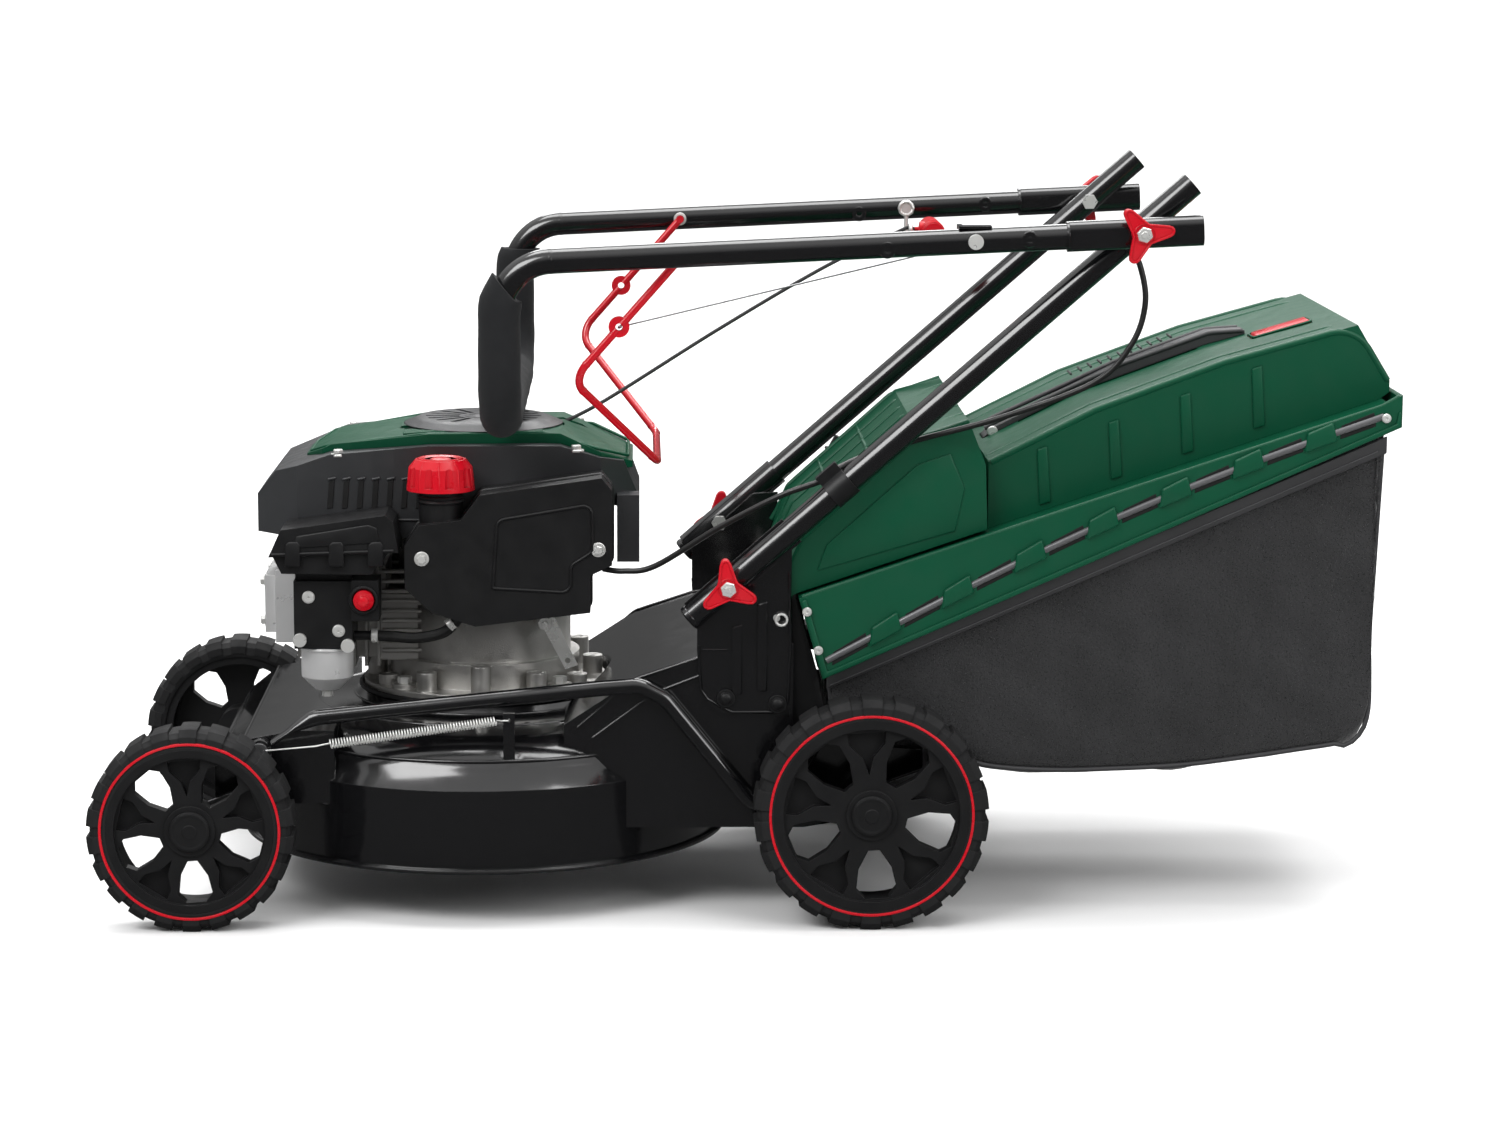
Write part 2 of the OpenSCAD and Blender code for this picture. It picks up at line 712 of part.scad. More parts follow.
module link_eye(p, q) {
    difference() {
        union() {
            ypin(p, link_eye_y, link_eye_y + 5, 10);
            translate([p[0], link_eye_y, p[1]]) rotate([0, -atan2(q[1] - p[1], q[0] - p[0]), 0])
                translate([0, 0, -5.5]) cube([43, 5, 11]);
        }
        ypin(p, link_eye_y - 1, link_eye_y + 6, pin_r + run);
    }
}

module height_link() {
    y = -link_y;
    a = link_front + [32, 21];
    b = link_rear + [-38, 2];
    path = [a, link_front + [48, 29], [rear_x - 152, 206], [rear_x - 38, 99], [rear_x - 14, 99],
        [rear_x + 28, 172], b];
    color([0.07, 0.07, 0.07]) place() {
        for (i = [0 : len(path) - 2])
            rod([path[i][0], y, path[i][1]], [path[i + 1][0], y, path[i + 1][1]], link_r, $fn = 12);
        for (i = [1 : len(path) - 2])
            translate([path[i][0], y, path[i][1]]) sphere(link_r + collar_t, $fn = 12);
        link_eye(link_front, a);
        link_eye(link_rear, b);
    }
}

// Pulls the front arm back towards a lug on the deck
spring_y = -wheel_in - 6;
spring_front = [118, spring_y, 158];
spring_rear = [262, spring_y, 178];
spring_eye = [spring_rear[0] + 11, spring_rear[2] + 1];
spring_side = 3.4;

module height_spring() {
    color([0.8, 0.8, 0.8]) place() {
        rod(spring_front, spring_rear, 4.5);
        rod([link_front[0] + 4, -arm_out - 10.5, link_front[1]], spring_front + [2, 0, 0], 1.5);
        rod(spring_rear - [2, 0, 0], spring_rear + [6, -spring_side, 0.5], 1.5);
        rod(spring_rear + [5, -spring_side, 0.5], [spring_eye[0], spring_y - spring_side, spring_eye[1]], 1.5);
        ypin(spring_eye, spring_y - spring_side, spring_y + 3, 1.5);
    }
}

lever_pivot = [rear_x - 12, 225];
lever_knee = lever_pivot + [40, 78];
lever_y = wheel_in - 3;
lever_grip_y = lower_out + 11;

module height_lever() {
    foot = lever_grip_y - lever_y + 3;
    color([0.7, 0.7, 0.7]) place() {
        difference() {
            union() {
                slab(lever_y, lever_y + 3) polygon([lever_pivot + [-8, 2], lever_pivot + [8, -4],
                    lever_knee + [7, -3], lever_knee + [7, 6], lever_knee + [-8, 6], lever_knee + [-9, -1]]);
                ypin(lever_pivot, lever_y, lever_y + 3, 9);
                translate([lever_knee[0] - 8, lever_y, lever_knee[1] + 2]) cube([15, foot, 4]);
                slab(lever_grip_y, lever_grip_y + 3) polygon([lever_knee + [-8, 2], lever_knee + [7, 2],
                    lever_knee + [18, 30], lever_knee + [8, 34]]);
            }
            ypin(lever_pivot, lever_y - 1, lever_y + 4, 4 + run);
        }
    }
}

module lever_grip() {
    color([0.08, 0.08, 0.08]) place() {
        a = [lever_knee[0] + 8, lever_grip_y + 1.5, lever_knee[1] + 22];
        b = [lever_knee[0] + 34, lever_grip_y + 1.5, lever_knee[1] + 68];
        difference() {
            rod(a, b, 9);
            slab(lever_grip_y, lever_grip_y + 3) polygon([lever_knee + [-8, 2], lever_knee + [7, 2],
                lever_knee + [18, 30], lever_knee + [8, 34]]);
        }
    }
}

// ---- Wheels ----

spokes = 5;

// A see-through opening between two spokes, in polar steps of [radius share, angle]
function window(r) = [for (q = [[0.37, -9], [0.58, -17], [0.8, -15], [0.88, -8], [0.88, 8], [0.8, 15],
    [0.58, 17], [0.37, 9]]) r * q[0] * [cos(q[1]), sin(q[1])]];
// A blind pocket inside a forked spoke
function pocket(r) = [for (q = [[0.42, 0], [0.6, -5], [0.76, -14], [0.88, -13], [0.88, 13], [0.76, 14],
    [0.6, 5]]) r * q[0] * [cos(q[1]), sin(q[1])]];

// The rim lies along +y from its outer face at y = 0
module rim_form(r) {
    rim_r = r - 17;
    rotate([-90, 0, 0]) difference() {
        union() {
            translate([0, 0, 5]) cylinder(h = 12, r = rim_r);
            translate([0, 0, 3]) cylinder(h = tyre_w - 8, r = 22);
            difference() {
                translate([0, 0, 1]) cylinder(h = tyre_w - 6, r = rim_r);
                translate([0, 0, -1]) cylinder(h = tyre_w, r = rim_r * 0.9);
            }
            cylinder(h = 4, r = 17);
        }
        translate([0, 0, 5]) cylinder(h = tyre_w, r = axle_r + run);
        for (k = [0 : spokes - 1]) {
            rotate([0, 0, 14 + 360 * k / spokes]) translate([0, 0, -1])
                linear_extrude(40) polygon(window(rim_r));
            rotate([0, 0, 14 + 360 * (k + 0.5) / spokes]) translate([0, 0, 4])
                linear_extrude(8) polygon(pocket(rim_r));
        }
    }
}

lug_count = 22;

module tyre_form(r) {
    in_r = r - 17;
    w = tyre_w;
    rotate([-90, 0, 0]) {
        rotate_extrude() polygon([[in_r, 3], [in_r + 3, 1.5], [r - 7, 2.5], [r - 3, 7], [r - 3, w - 7],
            [r - 7, w - 2.5], [in_r + 3, w - 1.5], [in_r, w - 3]]);
        for (k = [0 : lug_count - 1])
            rotate([0, 0, 90 - 180 / lug_count * 0.62 + 360 * k / lug_count])
                rotate_extrude(angle = 360 / lug_count * 0.62) polygon([[r - 13, 0.8], [r - 6, 0.8],
                    [r, 5.5], [r, w - 5.5], [r - 6, w - 0.8], [r - 13, w - 0.8]]);
    }
}

module rim_front_left() {
    color([0.09, 0.09, 0.09]) place() translate([0, -wheel_out, front_r]) rim_form(front_r);
}

module rim_front_right() {
    color([0.09, 0.09, 0.09]) place() mirror([0, 1, 0]) translate([0, -wheel_out, front_r]) rim_form(front_r);
}

module rim_rear_left() {
    color([0.09, 0.09, 0.09]) place() translate([wheelbase, -wheel_out, rear_r]) rim_form(rear_r);
}

module rim_rear_right() {
    color([0.09, 0.09, 0.09]) place() mirror([0, 1, 0]) translate([wheelbase, -wheel_out, rear_r]) rim_form(rear_r);
}

module tyre_front_left() {
    color([0.13, 0.13, 0.13]) place() translate([0, -wheel_out, front_r]) tyre_form(front_r);
}

module tyre_front_right() {
    color([0.13, 0.13, 0.13]) place() mirror([0, 1, 0]) translate([0, -wheel_out, front_r]) tyre_form(front_r);
}

module tyre_rear_left() {
    color([0.13, 0.13, 0.13]) place() translate([wheelbase, -wheel_out, rear_r]) tyre_form(rear_r);
}

module tyre_rear_right() {
    color([0.13, 0.13, 0.13]) place() mirror([0, 1, 0]) translate([wheelbase, -wheel_out, rear_r]) tyre_form(rear_r);
}

// ---- Star knobs ----

knob_reach = 22;

// A three-armed knob along +y from its inner face at y = 0
module knob_form(turn) {
    rotate([90, turn, 0]) difference() {
        union() {
            cylinder(h = knob_t, r = 10);
            for (a = [90 : 120 : 330])
                rotate([0, 0, a]) linear_extrude(knob_t - 2) {
                    polygon([[0, -9], [knob_reach, -4], [knob_reach, 4], [0, 9]]);
                    translate([knob_reach, 0]) circle(4);
                }
        }
        translate([0, 0, -1]) cylinder(h = knob_t + 2, r = bolt_r + run);
    }
}

module knob_lower_left() {
    color([0.75, 0.02, 0.06]) place()
        translate([clamp_pt[0], -lower_out - gap, clamp_pt[1]]) knob_form(0);
}

module knob_lower_right() {
    color([0.75, 0.02, 0.06]) place() mirror([0, 1, 0])
        translate([clamp_pt[0], -lower_out - gap, clamp_pt[1]]) knob_form(0);
}

module knob_upper_left() {
    color([0.75, 0.02, 0.06]) place()
        translate([pivot_pt[0], -upper_y - flat_half - gap, pivot_pt[1]]) knob_form(20);
}

module knob_upper_right() {
    color([0.75, 0.02, 0.06]) place() mirror([0, 1, 0])
        translate([pivot_pt[0], -upper_y - flat_half - gap, pivot_pt[1]]) knob_form(20);
}

// ---- Upper handle ----

flat_s = 62;

// Section of the flattened tube end: taller than it is wide
module flat_section(inset) {
    w = flat_half - inset;
    h = tube_r + 2 - inset;
    for (s = [-1, 1])
        translate([s * (h - w), 0]) circle(w);
    square([2 * (h - w), 2 * w], center = true);
}

// Stations along the left tube, from the fold pivot towards the grip
module along_upper(s) {
    translate([pivot_pt[0] + s * fold_dir[0], -upper_y, pivot_pt[1] + s * fold_dir[1]])
        rotate([0, 90 - fold_angle, 0]) children();
}

module upper_left_end() {
    difference() {
        union() {
            along_upper(-tail_len) linear_extrude(tail_len + flat_s) flat_section(0);
            along_upper(flat_s) cylinder(h = 2, r = tube_r + 2);
        }
        along_upper(-tail_len - 1) linear_extrude(tail_len + flat_s + 1) flat_section(tube_wall);
        ypin(pivot_pt, -wheel_out, 0, bolt_r + run);
    }
}

module cable_anchor() {
    p = on_upper(142, 0);
    translate([p[0] - 14, -upper_y - 6, p[1] + tube_r - 0.5]) cube([28, 14, 2.5]);
    translate([p[0] - 14, -upper_y + tube_r - 0.5, p[1] - 6]) cube([4, 9, 19]);
}

// Height where the drop below the corner bend begins
drop_z = corner_pt[1] - bend_r - 3;

module upper_handle() {
    near = on_upper(flat_s + 1, 0);
    color([0.06, 0.06, 0.06]) place() {
        both_sides() upper_left_end();
        difference() {
            union() {
                both_sides() {
                    bent([[near[0], -upper_y, near[1]], [corner_pt[0], -upper_y, corner_pt[1]],
                        [corner_pt[0], -upper_y, drop_z + 0.3]], bend_r, tube_r, tube_wall, ringed = true);
                    collar([corner_pt[0], -upper_y, drop_z], [0, 0, -1], tube_r, tube_wall);
                }
                bent([[corner_pt[0], -upper_y, drop_z - 0.3], [corner_pt[0], -upper_y, grip_z],
                    [corner_pt[0], upper_y, grip_z], [corner_pt[0], upper_y, drop_z - 0.3]],
                    bend_r, tube_r, tube_wall);
            }
            both_sides() ypin(bail_pt, -upper_y, 0, bail_wire_r + run);
        }
        cable_anchor();
    }
}

module foam_grip() {
    top = drop_z - 2;
    color([0.16, 0.16, 0.17]) place()
        bent([for (q = [[-upper_y, top], [-upper_y, grip_z], [upper_y, grip_z], [upper_y, top]])
            [corner_pt[0], q[0], q[1]]], bend_r, foam_r, foam_r - tube_r);
}

// Screws through the tubes and the wire guide that holds the starter rope
module handle_fittings() {
    screw = on_upper(142, 0);
    color([0.78, 0.78, 0.78]) place() {
        ypin(screw, -upper_y - tube_r - 3, -upper_y - tube_r - 0.1, 6.5);
        ypin(guide_pt, upper_y - tube_r - 4, upper_y - tube_r - 0.1, 6.5);
        bent([[guide_pt[0], upper_y - tube_r - 2, guide_pt[1] - 5],
            [guide_pt[0], upper_y - tube_r - 2, guide_pt[1] - 26],
            [guide_pt[0], grip_y + 6, guide_pt[1] - 26], [guide_pt[0], grip_y + 6, guide_pt[1] - 12],
            [guide_pt[0], grip_y - 6, guide_pt[1] - 12], [guide_pt[0], grip_y - 6, guide_pt[1] - 22]], 3, 2);
    }
}

upper_cable_points = [[798, -199.5, 592], [780, -198.5, 592.5], [750, -198.4, 591],
    [720, -197, 590.5], [690, -195.5, 590.3], [662, -195, 590]];

module brake_cable_upper() {
    color([0.05, 0.05, 0.05]) place() cord(upper_cable_points, cable_r, 4);
}

// ---- Brake bail ----

bail_wire_r = bail_r - 0.5;

module bail() {
    color([0.72, 0.03, 0.07]) place() difference() {
        union() {
            bent([for (q = [[bail_pt, -bail_y], [bail_knee, -bail_y], [bail_foot, -bail_foot_y],
                [bail_foot, bail_foot_y], [bail_knee, bail_y], [bail_pt, bail_y]])
                [q[0][0], q[1], q[0][1]]], 20, bail_wire_r, ringed = true);
            both_sides() {
                ypin(bail_pt, -upper_y + tube_r - 5, -bail_y + bail_wire_r, bail_wire_r);
                ypin(bail_eye, -bail_y - 2.5, -bail_y + 2.5, 9);
            }
        }
        both_sides() ypin(bail_eye, -bail_y - 9, -bail_y + 9, 3);
    }
}

wire_start = [bail_eye[0] + 6, -bail_y + 3.9, bail_eye[1] + 1];

module brake_wire() {
    end = on_upper(156.6, -5);
    color([0.8, 0.8, 0.8]) place()
        rod(wire_start, [end[0], -upper_y + tube_r + 4, end[1]], 0.9);
}

// ---- Starter ----

module starter_grip() {
    p = [guide_pt[0] + 20, grip_y, guide_pt[1] - 16];
    color([0.75, 0.05, 0.08]) place() {
        translate(p + [0, -35, 0]) rotate([-90, 0, 0]) cylinder(h = 70, r = 9);
        rod(p, p + [-12, 0, 1], 7);
        rod(p + [-16, 0, 1], p + [-12, 0, 1], rope_r);
    }
}

rope_points = [[spindle_x + 66, 36, 407], [spindle_x + 110, 50, 430], [460, 88, 497], [560, 114, 547],
    [guide_pt[0] - 3, grip_y, guide_pt[1] - 14]];

module starter_rope() {
    color([0.12, 0.12, 0.12]) place() cord(rope_points, rope_r, 6);
}

// ---- Rear flap and grass bag ----

flap_gap = 2.5;
function lid_shelf(x) = 281 + (x - rear_x + 3) * 0.335;
flap_outer = [[hinge_x + 3, hinge_z + 14], [rear_x - 3, hinge_z + 44], [rear_x + 8, 332],
    [rear_x + 104, 419], [rear_x + 108, 424], [rear_x + 151, 436], [rear_x + 166, 398],
    [step_x - 2, lid_shelf(step_x) + flap_gap], [rear_x + 5, lid_shelf(rear_x + 5) + flap_gap]];
flap_inner = [[rear_x + 3, hinge_z + 20], [rear_x + 3, hinge_z + 44], [rear_x + 11, 328],
    [rear_x + 106, 415], [rear_x + 110, 420], [rear_x + 149, 432], [rear_x + 163, 397],
    [step_x - 5, lid_shelf(step_x) - 20], [rear_x + 5, lid_shelf(rear_x) - 20]];

module discharge_flap() {
    color([0, 0.3, 0.17]) place() difference() {
        union() {
            slab(-flap_half, flap_half) polygon(flap_outer);
            for (y = [-flap_half, -20, flap_half - 40]) {
                ypin([hinge_x, hinge_z], y, y + 40, 7);
                slab(y, y + 40) polygon([[hinge_x - 3, hinge_z + 5], [hinge_x + 6, hinge_z],
                    [rear_x, hinge_z + 20], [hinge_x + 5, hinge_z + 20]]);
            }
        }
        slab(-flap_half + cover_t, flap_half - cover_t) polygon(flap_inner);
        ypin([hinge_x, hinge_z], -side_out, side_out, hinge_r + run);
    }
}

// Lower part of the lid, down to the rim; upper part behind the step
function lid_base(t) = [[lid_front + t, lid_shelf(lid_front) - t], [rim_front[0] + t, rim_front[1] - 8 * t],
    [rim_rear[0] - t, rim_rear[1] - 8 * t], [rim_rear[0] - t, rim_rear[1] + 28],
    [rear_x + 508 - t, 452 - t], [step_x, lid_shelf(step_x) - t]];
function lid_crown(t) = [[step_x + t, lid_shelf(step_x) - 6 - 12 * t], [step_x + t, 398 - t],
    [rear_x + 262, 444 - t], [rear_x + 375, 486 - t], [rear_x + 490 - t / 2, lid_top_z - t],
    [rear_x + 519 - t, 470 - t], [rear_x + 519 - t, 430 - 12 * t]];
crown_half = lid_half - 36;

module lid_form(t) {
    slab(-lid_half + t, lid_half - t) polygon(lid_base(t));
    slab(-crown_half + t, crown_half - t) polygon(lid_crown(t));
}

// Trough under the carry handle, where the fingers go
module lid_trough(t) {
    slab(t - 26, 26 - t) polygon([[step_x + 35 + t, 520], [step_x + 35 + t, 400 + t],
        [rear_x + 262, 420 + t], [rear_x + 365, 460 + t], [rear_x + 372 - t, 480], [rear_x + 372 - t, 520]]);
}

module bag_lid() {
    color([0, 0.3, 0.17]) place() difference() {
        slab(-lid_half, lid_half) polygon(lid_base(0));
        lid_form(cover_t);
        translate([rear_x, -mouth_half, 222]) cube([30, 2 * mouth_half, 40]);
    }
}

// The raised part of the lid, welded on over its own opening
module lid_crown_cover() {
    color([0, 0.3, 0.17]) place() difference() {
        slab(-crown_half, crown_half) polygon(lid_crown(0));
        slab(-lid_half, lid_half) polygon(lid_base(0));
        difference() {
            lid_form(cover_t);
            lid_trough(0);
        }
        lid_trough(cover_t);
        translate([rear_x + 412, -58, 480]) cube([54, 30, 40]);
    }
}

// Half width of the mouth that the clippings come in through
mouth_half = 150;
cloth_bottom = [[rear_x + 505, 245], [rear_x + 506, 173], [rear_x + 498, 152], [rear_x + 445, 140],
    [rear_x + 340, 126], [rear_x + 226, 123], [rear_x + 174, 125], [rear_x + 140, 138],
    [rear_x + 36, 142]];
cloth_top = [[rim_front[0] + 5, rim_front[1] - 0.5], [rim_rear[0] - 12, rim_rear[1] - 6],
    [rear_x + 510, 352]];
// Points of the cloth, moved towards the bag's middle by t
function inset_points(p, t) = [for (q = p) q + t * unit([rear_x + 380, 230] - q)];

module bag_fabric() {
    outer = concat(cloth_top, cloth_bottom);
    inner = concat([rim_front + [14, 20], rim_rear + [-20, 20], [rear_x + 504, 352]],
        inset_points(cloth_bottom, cloth_t + 1));
    color([0.12, 0.12, 0.12]) place() difference() {
        slab(-cloth_half, cloth_half) polygon(outer);
        slab(-cloth_half + cloth_t, cloth_half - cloth_t) polygon(inner);
        translate([rear_x, -mouth_half, 156]) cube([60, 2 * mouth_half, 46]);
    }
}

// The carry handle lies along the top of the lid
module bag_handle() {
    color([0.2, 0.2, 0.2]) place() slab(-16, 16) polygon([[step_x + 6, 401.2], [step_x + 18, 412],
        [rear_x + 300, 468], [rear_x + 380, 498], [rear_x + 412, 500], [rear_x + 412, 496.5],
        [rear_x + 375, 486.2], [rear_x + 262, 444.2]]);
}

module fill_indicator() {
    color([0.75, 0.05, 0.08]) place() translate([rear_x + 413, -57, 0]) {
        slab(0, 28) polygon([[0.5, 492], [0.5, 496], [52, 509], [52, 505]]);
        ypin([1, 494], 0, 28, 1.9);
    }
}

deck();
rear_housing();
handle_brackets();
black_fittings();
lower_tubes();
zinc_fasteners();
brake_cable_lower();
crankcase();
valve_cover();
shroud();
shroud_trim();
recoil_cover();
muffler();
spark_plug();
fuel_tank();
air_filter();
carburettor();
float_bowl();
fuel_hose();
height_spring();
starter_rope();
crankshaft();
flywheel();
blade_adapter();
blade();
starter_pulley();
fuel_cap();
primer_bulb();
governor_lever();
dipstick();
front_axle();
rear_axle();
height_lever();
lever_grip();
height_link();
rim_front_left();
rim_front_right();
rim_rear_left();
rim_rear_right();
tyre_front_left();
tyre_front_right();
tyre_rear_left();
tyre_rear_right();
knob_lower_left();
knob_lower_right();
knob_upper_left();
knob_upper_right();
upper_handle();
foam_grip();
handle_fittings();
brake_cable_upper();
bail();
brake_wire();
starter_grip();
discharge_flap();
bag_lid();
lid_crown_cover();  // lid_crown
bag_fabric();
bag_handle();
fill_indicator();
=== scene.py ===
"""Push lawn mower: the looks of every visible piece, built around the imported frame."""

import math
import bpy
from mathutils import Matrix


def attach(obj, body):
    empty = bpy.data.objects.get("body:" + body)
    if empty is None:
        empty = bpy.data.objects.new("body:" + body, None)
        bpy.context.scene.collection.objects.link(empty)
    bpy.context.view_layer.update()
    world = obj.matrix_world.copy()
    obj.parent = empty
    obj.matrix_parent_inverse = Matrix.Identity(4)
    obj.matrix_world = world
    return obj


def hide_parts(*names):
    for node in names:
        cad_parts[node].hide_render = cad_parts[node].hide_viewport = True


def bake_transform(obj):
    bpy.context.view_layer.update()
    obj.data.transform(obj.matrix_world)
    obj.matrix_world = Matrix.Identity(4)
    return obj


bl_info = {
    "name": "Push Lawn Mower",
    "version": (1, 0, 0),
    "blender": (4, 5, 0),
    "location": "View3D > Sidebar > Mower",
    "description": "Builds the mower's visible pieces and materials around its packed frame",
    "category": "Object",
}

import bmesh
import bpy
from bpy.props import FloatProperty, FloatVectorProperty, IntProperty, PointerProperty
from mathutils import Matrix, Vector, noise

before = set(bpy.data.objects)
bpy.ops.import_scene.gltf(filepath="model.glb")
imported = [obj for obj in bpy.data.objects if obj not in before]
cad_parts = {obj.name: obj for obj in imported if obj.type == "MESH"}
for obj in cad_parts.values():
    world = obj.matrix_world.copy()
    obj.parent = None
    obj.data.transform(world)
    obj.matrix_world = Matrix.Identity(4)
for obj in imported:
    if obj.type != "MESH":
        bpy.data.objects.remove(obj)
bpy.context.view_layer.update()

# The front axle's place along X in metres; every place below is in millimetres from it
FRONT = -0.4775
SIDES = ((-1, "left"), (1, "right"))
REAR = 586
SPINDLE = 245
CAP = (212, -122)
BOWL = (110, -108)
PRIMER_Z = 275
PRIMER_X = 145
HARD_ANGLE = 0.6


def at(x, y, z):
    """A point from millimetres behind the front axle, across and up."""
    return Vector((FRONT + x / 1000, y / 1000, z / 1000))


class MowerColours(bpy.types.PropertyGroup):
    """Colours of the paints and plastics."""

    def colour(name, description, default):
        return FloatVectorProperty(name=name, description=description, default=default,
                                   subtype="COLOR", size=3, min=0, max=1)

    enamel: colour("Enamel", "Gloss paint on the deck and tubes", (0.004, 0.004, 0.0045))
    green: colour("Green", "Moulded covers of the bag, flap and engine", (0.0006, 0.06, 0.027))
    red: colour("Red", "Caps, knobs and the bail", (0.46, 0.002, 0.01))
    shroud: colour("Shroud", "Blower housing", (0.026, 0.027, 0.029))
    black: colour("Black", "Moulded black plastic", (0.0065, 0.0065, 0.007))
    rubber: colour("Rubber", "Tyres", (0.0085, 0.0085, 0.009))
    cloth: colour("Cloth", "Bag mesh", (0.012, 0.012, 0.013))
    alloy: colour("Alloy", "Cast engine block", (0.55, 0.54, 0.52))


class MowerSizes(bpy.types.PropertyGroup):
    """Sizes of the visual details."""

    def length(name, description, default):
        return FloatProperty(name=name, description=description, default=default,
                             subtype="DISTANCE", unit="LENGTH", min=0)

    edge: length("Edge", "Radius that the shading puts on hard edges", 0.0009)
    ring: length("Ring", "Radius of the wheels' coloured ring section", 0.0011)
    spring_wire: length("Spring wire", "Wire radius of the height spring", 0.0007)
    spring_coils: IntProperty(name="Spring coils", description="Turns of the height spring",
                              default=58, min=10)
    foam: length("Foam", "Radius of the grip's foam", 0.0182)
    hem: length("Hem", "Width of the bag's hem band", 0.011)


# ---- Meshes ----


def place(name, mesh, finish, body, angle):
    """Shades a mesh smooth except over its hard edges, and rides it on a body."""
    mesh.shade_smooth()
    mesh.set_sharp_from_angle(angle=angle)
    piece = bpy.data.objects.new(name, mesh)
    bpy.context.scene.collection.objects.link(piece)
    mesh.materials.append(finishes()[finish] if isinstance(finish, str) else finish)
    if body:
        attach(piece, body)
    return piece


def remesh(mesh, weld=0.0):
    """Joins vertices closer than weld, and points every face outwards."""
    bm = bmesh.new()
    bm.from_mesh(mesh)
    if weld:
        bmesh.ops.remove_doubles(bm, verts=bm.verts, dist=weld)
    bmesh.ops.recalc_face_normals(bm, faces=bm.faces)
    bm.to_mesh(mesh)
    bm.free()
    mesh.shade_smooth()


def add(name, verts, faces, finish, body, angle=HARD_ANGLE):
    """A piece from vertices and faces; finish is a material or its name in finishes()."""
    mesh = bpy.data.meshes.new(name)
    mesh.from_pydata([tuple(v) for v in verts], [], faces)
    mesh.validate()
    remesh(mesh)
    return place(name, mesh, finish, body, angle)


def stations(a, b, count):
    """That many even steps from one point to another."""
    return [a.lerp(b, k / count) for k in range(count + 1)]


def fine(path, step):
    """The same line with a station about every step."""
    out = []
    for a, b in zip(path, path[1:]):
        out += stations(a, b, max(1, int((b - a).length / step)))[:-1]
    return out + [path[-1]]


def coil(x, y, z, r, pitch, count, steps=12):
    """Stations of a coil round a crosswise axis; pitch is its advance at each station."""
    turn = [math.tau * k / steps for k in range(count + 1)]
    return [at(x + r * math.cos(a), y + pitch * k, z + r * math.sin(a))
            for k, a in enumerate(turn)]


def spline(points, steps):
    """A smooth curve through the points."""
    p = [Vector(q) for q in points]
    out = []
    for i in range(len(p) - 1):
        a, b, c, d = p[max(i - 1, 0)], p[i], p[i + 1], p[min(i + 2, len(p) - 1)]
        for k in range(steps):
            t = k / steps
            b1, c1 = b + (c - a) / 6, c - (d - b) / 6
            s = 1 - t
            out.append(s ** 3 * b + 3 * s * s * t * b1 + 3 * s * t * t * c1 + t ** 3 * c)
    out.append(p[-1])
    return out


def rounded(points, radius, steps=7):
    """The same corners with an arc of that radius at each."""
    p = [Vector(q) for q in points]
    out = [p[0]]
    for a, b, c in zip(p, p[1:], p[2:]):
        u, w = (a - b).normalized(), (c - b).normalized()
        turn = math.pi - u.angle(w)
        if turn < 0.02:
            out.append(b)
            continue
        cut = min(radius * math.tan(turn / 2), 0.49 * (a - b).length, 0.49 * (c - b).length)
        r = cut / math.tan(turn / 2)
        centre = b + (u + w).normalized() * r / math.cos(turn / 2)
        start, end = b + u * cut - centre, b + w * cut - centre
        axis = start.cross(end).normalized()
        for k in range(steps + 1):
            out.append(centre + Matrix.Rotation(turn * k / steps, 3, axis) @ start)
    out.append(p[-1])
    return out


def sweep(path, sections, closed_ends=True):
    """Vertices and faces of a tube; sections gives each station's ring as (side, up) pairs."""
    m = len(path)
    tangents = [(path[min(i + 1, m - 1)] - path[max(i - 1, 0)]).normalized() for i in range(m)]
    side = tangents[0].orthogonal().normalized()
    if abs(tangents[0].y) < 0.95:
        side = Vector((0, 1, 0)).cross(tangents[0]).normalized()
    verts, faces = [], []
    n = len(sections[0])
    for i in range(m):
        side = (side - tangents[i] * side.dot(tangents[i])).normalized()
        up = tangents[i].cross(side)
        verts += [path[i] + side * a + up * b for a, b in sections[i]]
    for i in range(m - 1):
        for k in range(n):
            q = (k + 1) % n
            faces.append((i * n + k, i * n + q, (i + 1) * n + q, (i + 1) * n + k))
    if closed_ends:
        faces += [tuple(range(n))[::-1], tuple((m - 1) * n + k for k in range(n))]
    return verts, faces


def circle(r, n):
    """A ring of n points as (side, up) pairs."""
    return [(r * math.cos(math.tau * k / n), r * math.sin(math.tau * k / n)) for k in range(n)]


def tube(name, path, r, finish, body, sides=16):
    """A round bar along a path."""
    verts, faces = sweep(path, [circle(r, sides)] * len(path))
    return add(name, verts, faces, finish, body, angle=1.0)


def bead(name, points, bend, steps, r, finish, body, sides):
    """A round bar along millimetre points, its corners rounded to a bend in metres."""
    return tube(name, rounded([at(*p) for p in points], bend, steps), r, finish, body, sides)


